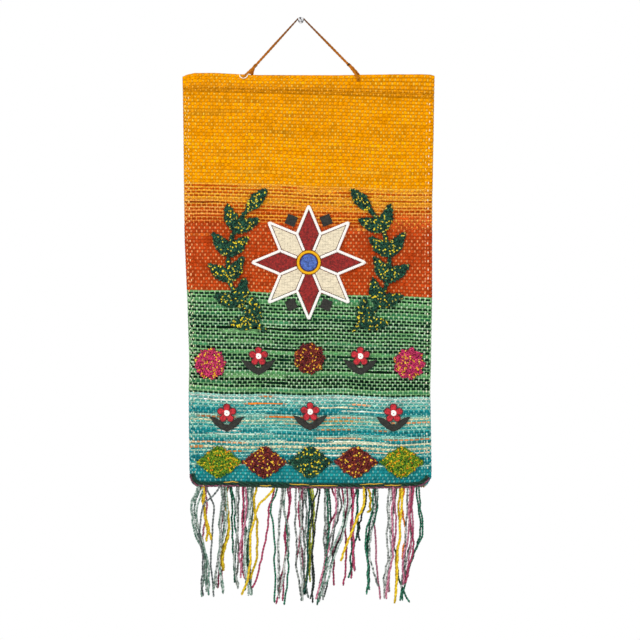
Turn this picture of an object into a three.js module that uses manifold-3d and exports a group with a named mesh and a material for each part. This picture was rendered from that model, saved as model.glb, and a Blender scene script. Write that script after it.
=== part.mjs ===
// Handwoven jute wall hanging on a push pin: a striped woven cloth with a folded heading, a couched
// yarn hem, a loose yarn fringe, appliqued felt, couched cord and yarn pile, and a twisted hanging cord.
// Millimetres, +Z up. The origin is on the wall where the pin enters it; the front faces -Y.
import * as THREE from 'three';
import { mergeVertices } from 'three/addons/utils/BufferGeometryUtils.js';
import { TessellateModifier } from 'three/addons/modifiers/TessellateModifier.js';
import Module from 'manifold-3d';

const wasm = await Module();
wasm.setup();

// Driving sizes
const CLOTH_WIDE = 380;         // at its top edge
const CLOTH_THICK = 2.8;
const HEADING_DEPTH = 29;      // the folded heading at the top
const HEADING_BULGE = 2.4;
const SIDE_HEM = 8;            // width of the turned hem at each side
const SIDE_HEM_EXTRA = 1.2;
const SEAT_GAP = 0.45;         // between a piece and the cloth that it is sewn to
const LAYER_GAP = 0.4;         // between two pieces that lie on each other
const FELT = 1.4;
const PILE = 5.4;              // height of the stitched yarn pile
const CORD_WIDE = 5.0;         // the couched white cord
const CORD_HIGH = 3.2;
const HANG_CORD = 3.5;         // diameter of the hanging cord
const TAIL_CORD = 2.8;
const MAX_EDGE = 24;           // longest triangle edge on a piece that follows the cloth
const CUT_LOW = -1;            // where a boolean cut through a flat piece starts, and how high it is
const CUT_HIGH = 12;

// Colours of the materials
const GOLD = 0xe8980f;
const RED = 0xb82430;
const CREAM = 0xe5dcc4;
const BLACK = 0x34342f;
const WHITE = 0xeeebe4;
const BLUE = 0x435fa6;
const YELLOW = 0xf5b916;
const DARK_GREEN = 0x23483a;
const OLIVE = 0x7a8a1c;
const MAGENTA = 0xb5305b;
const MAROON = 0x6e2a22;
const CORD_BROWN = 0xc4701c;
const CLEAR = 0xc9ccd0;

// The sides of the cloth, as its left and right edge at each height
const SIDES = [
  { z: -84, left: -178.4, right: 201.8 },
  { z: -181, left: -177.2, right: 200.3 },
  { z: -272, left: -176.4, right: 198.6 },
  { z: -332, left: -175.4, right: 198.3 },
  { z: -423, left: -171.4, right: 198.2 },
  { z: -518, left: -168.4, right: 196.6 },
  { z: -560, left: -169.4, right: 195.6 },
  { z: -635, left: -168.9, right: 197.0 },
  { z: -680, left: -168.2, right: 197.5 },
  { z: -691, left: -167.0, right: 197.0 },
  { z: -699, left: -164.6, right: 193.0 },
  { z: -704, left: -159.6, right: 189.0 },
  { z: -708, left: -152.0, right: 184.5 },
];

// The top edge, a little slack between the two ends of the cord
const TOP_EDGE = [
  { x: -178.4, z: -86.2 },
  { x: -171, z: -82.4 },
  { x: -160, z: -79.6 },
  { x: -130, z: -79.3 },
  { x: -92, z: -81.6 },
  { x: -62, z: -83.1 },
  { x: 59, z: -83.1 },
  { x: 100, z: -82.0 },
  { x: 142, z: -81.3 },
  { x: 183, z: -80.8 },
  { x: 196, z: -81.6 },
  { x: 201.8, z: -83.9 },
];

const BOTTOM_EDGE = [
  { x: -170, z: -704.8 },
  { x: -92, z: -705.4 },
  { x: 0, z: -707.4 },
  { x: 90, z: -708.1 },
  { x: 150, z: -707.5 },
  { x: 198, z: -706.0 },
];

// The depth of the heading's sewn groove below the top edge
const HEADING_SEAM = [
  { x: -178, depth: 25 },
  { x: -54, depth: 27 },
  { x: 60, depth: 30 },
  { x: 202, depth: 35 },
];

// Section of the heading: how much thicker the cloth is there, down from the top edge
const HEADING_SECTION = [
  { down: 0, extra: -0.6 },
  { down: 3.5, extra: 1.5 },
  { down: 11, extra: HEADING_BULGE },
  { down: 21, extra: HEADING_BULGE * 0.8 },
  { down: 26.5, extra: 0.8 },
  { down: HEADING_DEPTH, extra: -0.5 },
  { down: 32, extra: 0.2 },
];

// How far the back of the cloth stands off the wall: soft waves down and across the cloth,
// and more near the top, where the cord draws the heading forward
const STAND_OFF = 3.4;
const TOP_STAND_OFF = 2.8;
const TOP_REACH = 70;
const WAVES = [
  { high: 1.3, across: 420, down: 900, phase: 0.6 },
  { high: 0.8, across: 175, down: -520, phase: 2.1 },
  { high: 0.5, across: -230, down: 280, phase: 4.0 },
];

function tableAt(rows, key, at, value) {
  const rising = rows[rows.length - 1][key] > rows[0][key];
  const place = (row) => (rising ? row[key] : -row[key]);
  const target = rising ? at : -at;
  if (target <= place(rows[0])) return rows[0][value];
  for (let i = 1; i < rows.length; i += 1) {
    if (target <= place(rows[i])) {
      const share = (target - place(rows[i - 1])) / (place(rows[i]) - place(rows[i - 1]));
      return rows[i - 1][value] + share * (rows[i][value] - rows[i - 1][value]);
    }
  }
  return rows[rows.length - 1][value];
}

function backOf(x, z) {
  const nearTop = (z + 84) / TOP_REACH;
  let off = STAND_OFF + TOP_STAND_OFF * Math.exp(-nearTop * nearTop);
  for (const wave of WAVES) {
    off += wave.high * Math.sin(2 * Math.PI * (x / wave.across + z / wave.down) + wave.phase);
  }
  return off;
}

function frontOf(x, z) {
  return backOf(x, z) + CLOTH_THICK;
}

// Merged and free of collapsed triangles, so that a mesh is one closed body
function closed(geometry) {
  const plain = new THREE.BufferGeometry();
  plain.setAttribute('position', geometry.getAttribute('position').clone());
  if (geometry.index) plain.setIndex(geometry.index.clone());
  const merged = mergeVertices(plain, 1e-3);
  const kept = [];
  const index = merged.index.array;
  for (let i = 0; i < index.length; i += 3) {
    const [a, b, c] = [index[i], index[i + 1], index[i + 2]];
    if (a !== b && b !== c && a !== c) kept.push(a, b, c);
  }
  merged.setIndex(kept);
  return merged;
}

function toSolid(geometry) {
  const body = closed(geometry);
  return new wasm.Manifold(new wasm.Mesh({
    numProp: 3,
    vertProperties: new Float32Array(body.getAttribute('position').array),
    triVerts: new Uint32Array(body.index.array),
  }));
}

function fromSolid(solid) {
  const mesh = solid.getMesh();
  const geometry = new THREE.BufferGeometry();
  geometry.setAttribute('position', new THREE.Float32BufferAttribute(mesh.vertProperties, 3));
  geometry.setIndex(Array.from(mesh.triVerts));
  return geometry;
}

function joined(geometries) {
  return fromSolid(geometries.map(toSolid).reduce((all, next) => all.add(next)));
}

function cutFrom(geometry, cutter) {
  return fromSolid(toSolid(geometry).subtract(toSolid(cutter)));
}

// Lays a flat piece, modelled in the XY plane with its height along +Z, onto the front of the cloth
// at (x, z), so that it follows the cloth's waves
function layOnCloth(flat, at, turn = 0) {
  const turned = closed(flat).rotateZ(turn);
  const fine = closed(new TessellateModifier(MAX_EDGE, 6).modify(turned));
  const position = fine.getAttribute('position');
  for (let i = 0; i < position.count; i += 1) {
    const x = position.getX(i);
    const z = position.getY(i);
    const out = frontOf(at.x + x, at.z + z) + position.getZ(i);
    position.setXYZ(i, x, -out, z);
  }
  return fine;
}

const hanging = new THREE.Group();

function addMesh(name, geometry, color, roughness = 0.9, at = null) {
  const material = new THREE.MeshStandardMaterial({ color, roughness, metalness: 0 });
  const mesh = new THREE.Mesh(geometry, material);
  mesh.name = name;
  if (at) mesh.position.set(at.x, 0, at.z);
  hanging.add(mesh);
}

// A flat slab of the given outline, between two heights above the cloth
function slab(points, low, thick) {
  const shape = new THREE.Shape(points);
  const geometry = new THREE.ExtrudeGeometry(shape, { depth: thick, bevelEnabled: false });
  return geometry.translate(0, 0, low);
}

function disc(radius, low, thick, sides) {
  const round = new THREE.CylinderGeometry(radius, radius, thick, sides);
  return round.rotateX(Math.PI / 2).translate(0, 0, low + thick / 2);
}

// The woven cloth

const CLOTH_COLUMNS = 19;
const CLOTH_ROWS = 30;
const HEM_SHARE = SIDE_HEM / CLOTH_WIDE;
const HEM_STEP_SHARE = HEM_SHARE * 1.25;   // where the cloth is back to its plain thickness
const LOWER_EDGE_EXTRA = -0.4;

function clothPoint(column, row) {
  const inner = (column - 2) / (CLOTH_COLUMNS - 4);
  let across = HEM_STEP_SHARE + inner * (1 - 2 * HEM_STEP_SHARE);
  if (column === 0) across = 0;
  if (column === 1) across = HEM_SHARE;
  if (column === CLOTH_COLUMNS - 1) across = 1 - HEM_SHARE;
  if (column === CLOTH_COLUMNS) across = 1;
  const inHem = column < 2 || column > CLOTH_COLUMNS - 2;
  const top = SIDES[0];
  const x0 = top.left + across * (top.right - top.left);
  const topZ = tableAt(TOP_EDGE, 'x', x0, 'z');
  const seamScale = tableAt(HEADING_SEAM, 'x', x0, 'depth') / HEADING_DEPTH;
  const bottomZ = tableAt(BOTTOM_EDGE, 'x', x0, 'z');
  const sections = HEADING_SECTION.length;
  let z = 0;
  let extra = inHem ? SIDE_HEM_EXTRA : 0;
  if (row < sections) {
    const section = HEADING_SECTION[row];
    z = topZ - section.down * seamScale;
    extra = section.extra;
  } else {
    const start = topZ - HEADING_SECTION[sections - 1].down * seamScale;
    const share = (row - sections + 1) / (CLOTH_ROWS - sections + 1);
    z = start + share * (bottomZ - start);
  }
  if (row === CLOTH_ROWS) extra = LOWER_EDGE_EXTRA;
  const left = tableAt(SIDES, 'z', z, 'left');
  const right = tableAt(SIDES, 'z', z, 'right');
  const x = left + across * (right - left);
  const back = backOf(x, z);
  return { x, z, back, front: back + CLOTH_THICK + extra };
}

function makeCloth() {
  const box = new THREE.BoxGeometry(1, 1, 1, CLOTH_COLUMNS, CLOTH_ROWS, 1);
  const position = box.getAttribute('position');
  for (let i = 0; i < position.count; i += 1) {
    const column = Math.round((position.getX(i) + 0.5) * CLOTH_COLUMNS);
    const row = Math.round((0.5 - position.getY(i)) * CLOTH_ROWS);
    const point = clothPoint(column, row);
    const out = position.getZ(i) > 0 ? point.front : point.back;
    position.setXYZ(i, point.x, -out, point.z);
  }
  addMesh('cloth', closed(box), GOLD);
}

// The yarns laid along the lower edge: one ridged band that turns up at both corners

const HEM_ROUTE = [
  { x: -164.6, z: -685.5 },
  { x: -163.0, z: -693.5 },
  { x: -157.0, z: -699.6 },
  { x: -146.0, z: -701.2 },
  { x: -120.0, z: -701.0 },
  { x: -92.0, z: -701.0 },
  { x: -60.0, z: -701.8 },
  { x: -30.0, z: -702.6 },
  { x: 0.0, z: -703.2 },
  { x: 30.0, z: -703.6 },
  { x: 60.0, z: -703.9 },
  { x: 90.0, z: -704.0 },
  { x: 120.0, z: -703.8 },
  { x: 150.0, z: -703.4 },
  { x: 174.0, z: -702.2 },
  { x: 186.0, z: -697.6 },
  { x: 192.6, z: -690.0 },
];
const HEM_RIDGES = 3;
const HEM_WIDE = 8.2;
const HEM_HIGH = 4.0;
const HEM_SHOULDER = HEM_HIGH - 1.2;
const HEM_VALLEY = HEM_HIGH - 1.3;
const RIDGE_FLAT = 0.28;       // half of a ridge's flat crest, as a share of the ridge

function makeHemYarns() {
  const ridge = HEM_WIDE / HEM_RIDGES;
  const upper = [];
  for (let i = 0; i < HEM_RIDGES; i += 1) {
    const centre = -HEM_WIDE / 2 + ridge * (i + 0.5);
    upper.push([centre - ridge * RIDGE_FLAT, HEM_HIGH], [centre + ridge * RIDGE_FLAT, HEM_HIGH]);
    if (i < HEM_RIDGES - 1) upper.push([centre + ridge / 2, HEM_VALLEY]);
  }
  const section = [[-HEM_WIDE / 2, 0], [-HEM_WIDE / 2, HEM_SHOULDER], ...upper];
  section.push([HEM_WIDE / 2, HEM_SHOULDER], [HEM_WIDE / 2, 0]);
  const rings = HEM_ROUTE.map((point, i) => {
    const before = HEM_ROUTE[Math.max(i - 1, 0)];
    const after = HEM_ROUTE[Math.min(i + 1, HEM_ROUTE.length - 1)];
    const along = new THREE.Vector2(after.x - before.x, after.z - before.z).normalize();
    return section.map(([side, high]) => {
      const x = point.x - along.y * side;
      const z = point.z + along.x * side;
      const out = frontOf(x, z) + SIDE_HEM_EXTRA + SEAT_GAP + high;
      return new THREE.Vector3(x, -out, z);
    });
  });
  addMesh('hem_yarns', ringBody(rings), DARK_GREEN);
}

// A closed body through rings of points, all with the same number of points
function ringBody(rings) {
  const sides = rings[0].length;
  const cylinder = new THREE.CylinderGeometry(1, 1, 1, sides, rings.length - 1, true);
  const tube = closed(cylinder);
  const flat = rings[0].map((_, i) => new THREE.Vector2(
    Math.cos((2 * Math.PI * i) / sides), Math.sin((2 * Math.PI * i) / sides)));
  const points = rings.flat().flatMap((point) => [point.x, point.y, point.z]);
  const index = [];
  for (let r = 0; r < rings.length - 1; r += 1) {
    for (let s = 0; s < sides; s += 1) {
      const a = r * sides + s;
      const b = r * sides + ((s + 1) % sides);
      index.push(a, a + sides, b, b, a + sides, b + sides);
    }
  }
  const last = (rings.length - 1) * sides;
  for (const [a, b, c] of THREE.ShapeUtils.triangulateShape(flat, [])) {
    index.push(a, b, c, last + a, last + c, last + b);
  }
  tube.setAttribute('position', new THREE.Float32BufferAttribute(points, 3));
  tube.setIndex(index);
  return tube;
}

// The fringe: yarn ends that hang from a narrow strip just under the hem. Each row is one bundle:
// its number of yarns, then where it is across the hanging at its root and at four depths, and how
// far its ends hang.

const FRINGE_COLUMNS = ['yarns', 'root', 'at30', 'at68', 'at106', 'at144', 'length'];
const FRINGE_DEPTHS = [0, 30, 68, 106, 144, 182];
const FRINGE_TABLE = [
  [4, -152, -161, -157, -144, -143, 167],
  [2, -148, -147, -139, -139, -139, 83],
  [1, -123, -148, -154, -148, -150, 165],
  [1, -142, -131, -135, -136, -132, 167],
  [1, -144, -142, -147, -145, -145, 109],
  [2, -119, -120, -121, -126, -129, 157],
  [2, -115, -111, -111, -119, -115, 127],
  [2, -111, -117, -119, -121, -124, 154],
  [2, -114, -114, -117, -124, -120, 162],
  [2, -106, -101, -101, -102, -98, 148],
  [2, -95, -94, -95, -98, -97, 154],
  [1, -87, -88, -83, -83, -82, 157],
  [2, -86, -83, -88, -91, -86, 139],
  [4, -76, -76, -80, -83, -79, 164],
  [1, -67, -69, -67, -67, -74, 139],
  [1, -41, -64, -76, -76, -84, 162],
  [1, -40, -49, -50, -60, -68, 153],
  [1, -36, -43, -42, -39, -38, 174],
  [2, -27, -30, -33, -33, -32, 168],
  [1, -25, -25, -18, -21, -29, 157],
  [2, -18, -16, -24, -24, -28, 176],
  [1, -23, -26, -23, -21, -22, 177],
  [1, -7, -8, -8, -7, -2, 164],
  [2, -1, -2, -2, 0, 0, 109],
  [4, 4, 3, 3, 3, 4, 170],
  [2, 12, 14, 11, 13, 9, 170],
  [2, 16, 18, 16, 13, 9, 154],
  [2, 27, 21, 20, 17, 17, 173],
  [2, 38, 38, 36, 36, 32, 170],
  [2, 41, 43, 41, 38, 30, 176],
  [1, 47, 55, 37, 50, 45, 147],
  [3, 55, 56, 47, 39, 32, 167],
  [1, 62, 67, 68, 67, 68, 147],
  [3, 70, 69, 60, 45, 36, 167],
  [1, 85, 74, 62, 48, 39, 164],
  [2, 77, 78, 77, 78, 80, 136],
  [2, 85, 86, 83, 77, 74, 135],
  [1, 95, 92, 74, 61, 61, 109],
  [1, 98, 96, 89, 88, 88, 79],
  [1, 103, 104, 100, 100, 100, 36],
  [3, 113, 111, 102, 101, 104, 160],
  [1, 115, 111, 106, 104, 114, 148],
  [1, 111, 112, 111, 115, 119, 168],
  [3, 136, 135, 135, 133, 129, 167],
  [2, 141, 141, 141, 137, 132, 167],
  [1, 144, 142, 139, 142, 151, 173],
  [2, 151, 149, 149, 145, 144, 174],
  [1, 156, 154, 157, 156, 156, 109],
  [4, 166, 165, 164, 159, 155, 151],
  [1, 170, 167, 169, 168, 156, 144],
  [2, 177, 180, 181, 169, 157, 171],
];
const STRIP_STATIONS = [-157, -92, 0, 90, 150, 183];
const STRIP_HIGH = 3.0;
const STRIP_BACK = 3.2;
const STRIP_FRONT = 11.2;
const STRAND_RADIUS = 1.35;
const STRAND_PITCH = 3.0;      // between the yarns of a bundle
const STRAND_LAYERS = [4.4, 7.6, 10.8, 1.8];
const STRAND_SIDES = 3;
const STRAND_STEPS = 5;
const STRAND_CLEAR = 3.4;      // the least distance between two yarns that share a layer
const STRAND_CLEAR_FROM = 14;  // the depth below which yarns are kept apart
const STRAND_WANDER = 2.4;     // how far a yarn strays from its bundle's line, in all
const STRAND_SHORTER = 0.1;    // how much shorter the other yarns of a bundle may be
const BUNDLE_TAPER = 0.08;     // how much a bundle narrows from one depth to the next
const ROOT_INSET = 1.6;
const ROOT_LEAN = 0.7;         // how much of its own layer a yarn keeps where it enters the strip
const STEP_GROWTH = 1.15;

// A number from 0 to 1 that is the same for the same yarn
function chance(seed) {
  const wave = Math.sin(seed * 12.9898) * 43758.5453;
  return wave - Math.floor(wave);
}

function strandRoutes() {
  const routes = [];
  for (const [bundle, cells] of FRINGE_TABLE.entries()) {
    const row = Object.fromEntries(FRINGE_COLUMNS.map((name, i) => [name, cells[i]]));
    const middles = [row.root, row.at30, row.at68, row.at106, row.at144];
    middles.push(2 * row.at144 - row.at106);
    for (let yarn = 0; yarn < row.yarns; yarn += 1) {
      const seed = bundle * 7 + yarn;
      const side = (yarn - (row.yarns - 1) / 2) * STRAND_PITCH;
      const long = row.length * (1 - STRAND_SHORTER * chance(seed + 0.5) * (yarn > 0 ? 1 : 0));
      const rows = FRINGE_DEPTHS.map((depth, i) => {
        const wander = i > 0 ? (chance(seed * 3 + i) - 0.5) * STRAND_WANDER : 0;
        return { depth, x: middles[i] + side * (1 - BUNDLE_TAPER * i) + wander };
      });
      routes.push({ rows, long });
    }
  }
  return routes;
}

// The top of the strip, just under the lower edge of the cloth
function stripTop(x) {
  return tableAt(BOTTOM_EDGE, 'x', x, 'z') - SEAT_GAP;
}

function routeX(route, depth) {
  return tableAt(route.rows, 'depth', depth, 'x');
}

// The layer, in or out from the wall, in which a yarn passes clear of those placed before it
function freeLayer(route, placed) {
  let best = 0;
  let bestClear = -1;
  for (let layer = 0; layer < STRAND_LAYERS.length; layer += 1) {
    let clear = STRAND_CLEAR;
    for (const other of placed.filter((one) => one.layer === layer)) {
      const end = Math.min(route.long, other.long);
      for (let depth = STRAND_CLEAR_FROM; depth <= end; depth += 6) {
        clear = Math.min(clear, Math.abs(routeX(route, depth) - routeX(other, depth)));
      }
    }
    if (clear >= STRAND_CLEAR) return layer;
    if (clear > bestClear) {
      best = layer;
      bestClear = clear;
    }
  }
  return best;
}

function strandBody(route) {
  const section = [];
  for (let i = 0; i < STRAND_SIDES; i += 1) {
    const angle = (2 * Math.PI * i) / STRAND_SIDES + Math.PI / 2;
    section.push([Math.cos(angle) * STRAND_RADIUS, Math.sin(angle) * STRAND_RADIUS]);
  }
  const middle = (STRIP_BACK + STRIP_FRONT) / 2;
  const layerOut = STRAND_LAYERS[route.layer];
  const inStrip = Math.min(Math.max(layerOut, STRIP_BACK + ROOT_INSET), STRIP_FRONT - ROOT_INSET);
  const root = inStrip * ROOT_LEAN + middle * (1 - ROOT_LEAN);
  const top = stripTop(routeX(route, 0));
  const rings = [];
  for (let step = 0; step <= STRAND_STEPS; step += 1) {
    const depth = route.long * (step / STRAND_STEPS) ** STEP_GROWTH;
    const out = step === 0 ? root : layerOut;
    const x = routeX(route, depth);
    const z = top - (step === 0 ? STRIP_HIGH / 2 : depth);
    rings.push(section.map(([dx, dy]) => new THREE.Vector3(x + dx, -out + dy, z)));
  }
  return ringBody(rings);
}

function makeFringe() {
  const placed = [];
  for (const route of strandRoutes()) {
    route.layer = freeLayer(route, placed);
    placed.push(route);
  }
  const strip = ringBody(STRIP_STATIONS.map((x) => {
    const top = stripTop(x);
    const bottom = top - STRIP_HIGH;
    const corners = [[STRIP_BACK, bottom], [STRIP_FRONT, bottom], [STRIP_FRONT, top], [STRIP_BACK, top]];
    return corners.map(([out, z]) => new THREE.Vector3(x, -out, z));
  }));
  addMesh('fringe', joined([strip, ...placed.map(strandBody)]), MAGENTA);
}

// The push pin, as a profile turned about the Y axis: how far out from the wall, and its radius

const PIN_PROFILE = [
  { out: -9.5, radius: 0 },
  { out: -8.0, radius: 0.6 },
  { out: 2.4, radius: 0.6 },
  { out: 2.4, radius: 3.9 },
  { out: 3.4, radius: 4.3 },
  { out: 4.2, radius: 3.6 },
  { out: 5.2, radius: 1.8 },
  { out: 7.8, radius: 1.6 },
  { out: 10.8, radius: 1.8 },
  { out: 12.2, radius: 3.4 },
  { out: 13.2, radius: 4.5 },
  { out: 14.6, radius: 4.5 },
  { out: 15.4, radius: 3.6 },
  { out: 15.6, radius: 0 },
];
const PIN_SIDES = 12;

function makePin() {
  const profile = PIN_PROFILE.map((row) => new THREE.Vector2(row.radius, -row.out));
  const pin = new THREE.LatheGeometry(profile.reverse(), PIN_SIDES);
  addMesh('push_pin', closed(pin), CLEAR, 0.15);
}

// The hanging cord, from its hole in the heading, over the neck of the pin and down to the other hole.
// out is how far the middle of the cord is from the wall.

const CORD_ROUTE = [
  { x: -87.6, out: 11.1, z: -86.6 },
  { x: -85.2, out: 11.3, z: -84.4 },
  { x: -81.4, out: 11.2, z: -80.9 },
  { x: -76.0, out: 10.8, z: -75.8 },
  { x: -68.9, out: 10.4, z: -69.0 },
  { x: -58.0, out: 9.9, z: -57.1 },
  { x: -45.0, out: 9.3, z: -42.7 },
  { x: -32.0, out: 8.8, z: -28.3 },
  { x: -19.0, out: 8.2, z: -13.9 },
  { x: -9.0, out: 7.9, z: -2.9 },
  { x: -5.2, out: 7.8, z: 1.3 },
  { x: -2.7, out: 7.8, z: 3.1 },
  { x: 0.0, out: 7.8, z: 3.75 },
  { x: 2.6, out: 7.8, z: 3.15 },
  { x: 5.1, out: 7.8, z: 1.45 },
  { x: 9.0, out: 7.9, z: -2.6 },
  { x: 20.0, out: 8.2, z: -13.9 },
  { x: 33.0, out: 8.9, z: -27.2 },
  { x: 46.0, out: 9.7, z: -40.5 },
  { x: 59.0, out: 10.5, z: -53.9 },
  { x: 71.6, out: 11.4, z: -66.9 },
  { x: 77.4, out: 12.4, z: -74.2 },
  { x: 82.0, out: 13.4, z: -80.8 },
  { x: 85.0, out: 14.0, z: -85.6 },
  { x: 86.9, out: 14.1, z: -88.6 },
];

// The cord's two tails, tied beside it, that pass over the top edge and down behind the heading
const TAIL_ROUTES = {
  cord_tail_left: [
    { x: -66.4, out: 10.0, z: -71.6 },
    { x: -69.4, out: 9.0, z: -75.4 },
    { x: -72.0, out: 6.6, z: -78.8 },
    { x: -73.2, out: 4.2, z: -80.5 },
    { x: -73.8, out: 3.3, z: -83.6 },
    { x: -74.4, out: 3.25, z: -92.0 },
  ],
  cord_tail_right: [
    { x: 75.4, out: 10.4, z: -65.8 },
    { x: 80.8, out: 9.8, z: -72.0 },
    { x: 84.8, out: 8.2, z: -77.4 },
    { x: 87.0, out: 6.2, z: -80.4 },
    { x: 88.0, out: 5.5, z: -84.0 },
    { x: 88.8, out: 5.5, z: -92.0 },
  ],
};

function cordBody(route, diameter, sides, steps) {
  const points = route.map((row) => new THREE.Vector3(row.x, -row.out, row.z));
  const section = new THREE.Shape();
  for (let i = 0; i < sides; i += 1) {
    const angle = (2 * Math.PI * i) / sides;
    const [x, y] = [Math.cos(angle) * diameter / 2, Math.sin(angle) * diameter / 2];
    if (i === 0) section.moveTo(x, y);
    else section.lineTo(x, y);
  }
  const extrudePath = new THREE.CatmullRomCurve3(points);
  return closed(new THREE.ExtrudeGeometry(section, { steps, extrudePath, bevelEnabled: false }));
}

function makeCords() {
  addMesh('cord', cordBody(CORD_ROUTE, HANG_CORD, 8, 34), CORD_BROWN);
  for (const [name, route] of Object.entries(TAIL_ROUTES)) {
    addMesh(name, cordBody(route, TAIL_CORD, 6, 9), CORD_BROWN);
  }
}

// A pad of stitched yarn pile: a domed slab with a lumpy rim. reach says how far it goes each way:
// half its length and width, how pointed it is (1 is a diamond, 2 an ellipse), its lobes, and the
// number of its sides.

const PAD_SECTION = [
  { share: 0, high: SEAT_GAP },
  { share: 0.95, high: SEAT_GAP },
  { share: 1, high: 2.2 },
  { share: 0.86, high: PILE - 1.0 },
  { share: 0, high: PILE },
];

function reachAt(angle, reach) {
  const c = Math.abs(Math.cos(angle)) / reach.long;
  const s = Math.abs(Math.sin(angle)) / reach.wide;
  const plain = (c ** reach.power + s ** reach.power) ** (-1 / reach.power);
  return plain * (1 + reach.lobeDepth * Math.cos(angle * reach.lobes));
}

function pilePad(reach) {
  const profile = PAD_SECTION.map((row) => new THREE.Vector2(row.share, row.high));
  const pad = closed(new THREE.LatheGeometry(profile, reach.sides));
  pad.rotateX(Math.PI / 2).rotateZ(Math.PI / 2);
  const position = pad.getAttribute('position');
  for (let i = 0; i < position.count; i += 1) {
    const angle = Math.atan2(position.getY(i), position.getX(i));
    const far = reachAt(angle, reach);
    position.setX(i, position.getX(i) * far);
    position.setY(i, position.getY(i) * far);
  }
  return pad;
}

// The star in the middle: eight felt and burlap diamonds between couched white cords,
// round a felt disc in a cord ring

const STAR_AT = { x: 12, z: -366 };
const STAR_TIPS = 8;
const STAR_REACH = 86;
const STAR_SIDE = STAR_REACH / (2 * Math.cos(Math.PI / STAR_TIPS));
const RING_OUTER = 18.4;
const RING_INNER = 13.8;
const RING_SIDES = 24;
const TIP_GROWTH = 1.6;        // how far a cord runs past a tip and a notch, in half widths of the cord
const NOTCH_GROWTH = 1.05;

// A diamond of the star, its inner corner at the middle and its tip along +X, drawn in by inset
function starDiamond(inset) {
  const half = Math.PI / STAR_TIPS;
  const shift = inset / Math.sin(half);
  const wide = (STAR_SIDE * Math.sin(half) * (STAR_REACH - 2 * shift)) / STAR_REACH;
  return [
    new THREE.Vector2(shift, 0),
    new THREE.Vector2(STAR_REACH / 2, -wide),
    new THREE.Vector2(STAR_REACH - shift, 0),
    new THREE.Vector2(STAR_REACH / 2, wide),
  ];
}

function starOutline(grow) {
  const points = [];
  for (let tip = 0; tip < STAR_TIPS; tip += 1) {
    const angle = (2 * Math.PI * tip) / STAR_TIPS;
    const far = STAR_REACH + grow * TIP_GROWTH;
    points.push(new THREE.Vector2(Math.cos(angle) * far, Math.sin(angle) * far));
    const between = angle + Math.PI / STAR_TIPS;
    const near = STAR_SIDE + grow * NOTCH_GROWTH;
    points.push(new THREE.Vector2(Math.cos(between) * near, Math.sin(between) * near));
  }
  return points;
}

function makeStar() {
  const cordHalf = CORD_WIDE / 2;
  const ringHole = disc(RING_OUTER + LAYER_GAP, CUT_LOW, CUT_HIGH, RING_SIDES);
  const holes = [ringHole];
  for (let tip = 0; tip < STAR_TIPS; tip += 1) {
    const turn = (2 * Math.PI * tip) / STAR_TIPS;
    holes.push(slab(starDiamond(cordHalf), CUT_LOW, CUT_HIGH).rotateZ(turn));
    const felt = cutFrom(slab(starDiamond(cordHalf + LAYER_GAP), SEAT_GAP, FELT), ringHole);
    const color = tip % 2 === 0 ? RED : CREAM;
    addMesh(`star_diamond_${tip + 1}`, layOnCloth(felt, STAR_AT, turn), color, 0.9, STAR_AT);
  }
  const outline = slab(starOutline(cordHalf), SEAT_GAP, CORD_HIGH);
  const cords = cutFrom(outline, joined(holes));
  addMesh('star_cords', layOnCloth(cords, STAR_AT), WHITE, 0.9, STAR_AT);
  const wholeRing = disc(RING_OUTER, SEAT_GAP, CORD_HIGH, RING_SIDES);
  const ring = cutFrom(wholeRing, disc(RING_INNER, CUT_LOW, CUT_HIGH, RING_SIDES));
  addMesh('star_ring', layOnCloth(ring, STAR_AT), YELLOW, 0.9, STAR_AT);
  const middle = disc(RING_INNER - LAYER_GAP, SEAT_GAP, FELT, RING_SIDES);
  addMesh('star_middle', layOnCloth(middle, STAR_AT), BLUE, 0.9, STAR_AT);
}

// Four small black felt diamonds between the star's tips

const GEM_HALF = 11;
const GEM_FAR = 69;

function makeGems() {
  for (let i = 0; i < 4; i += 1) {
    const angle = ((2 * i + 1) * Math.PI) / 4 + (Math.PI / STAR_TIPS) * (i % 2 === 0 ? 1 : -1);
    const at = { x: STAR_AT.x + Math.cos(angle) * GEM_FAR, z: STAR_AT.z + Math.sin(angle) * GEM_FAR };
    const points = [[-GEM_HALF, 0], [0, -GEM_HALF], [GEM_HALF, 0], [0, GEM_HALF]];
    const gem = slab(points.map(([x, y]) => new THREE.Vector2(x, y)), SEAT_GAP, FELT);
    addMesh(`gem_${i + 1}`, layOnCloth(gem, at, angle), BLACK, 0.9, at);
  }
}

// The wreath of pile leaves: one branch at each side of the star, its leaves in pairs along an arc

const WREATH_REACH = 122;
const WREATH_START = 32;       // degrees from straight down, where a branch begins
const WREATH_END = 132;
const LEAF_PAIRS = 5;
const LEAF = { long: 23, wide: 10.5, power: 1.45, lobes: 5, lobeDepth: 0.05, sides: 10 };
const LEAF_SPLAY = 42;         // degrees between a leaf and its stem
const LEAF_OUT = 17;
const STEM_HALF = 3.2;
const STEM_HIGH = PILE - 1.6;
const STEM_STEPS = 8;

function wreathPoint(degrees, side) {
  const angle = THREE.MathUtils.degToRad(degrees);
  return { x: side * Math.sin(angle) * WREATH_REACH, y: -Math.cos(angle) * WREATH_REACH };
}

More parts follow.
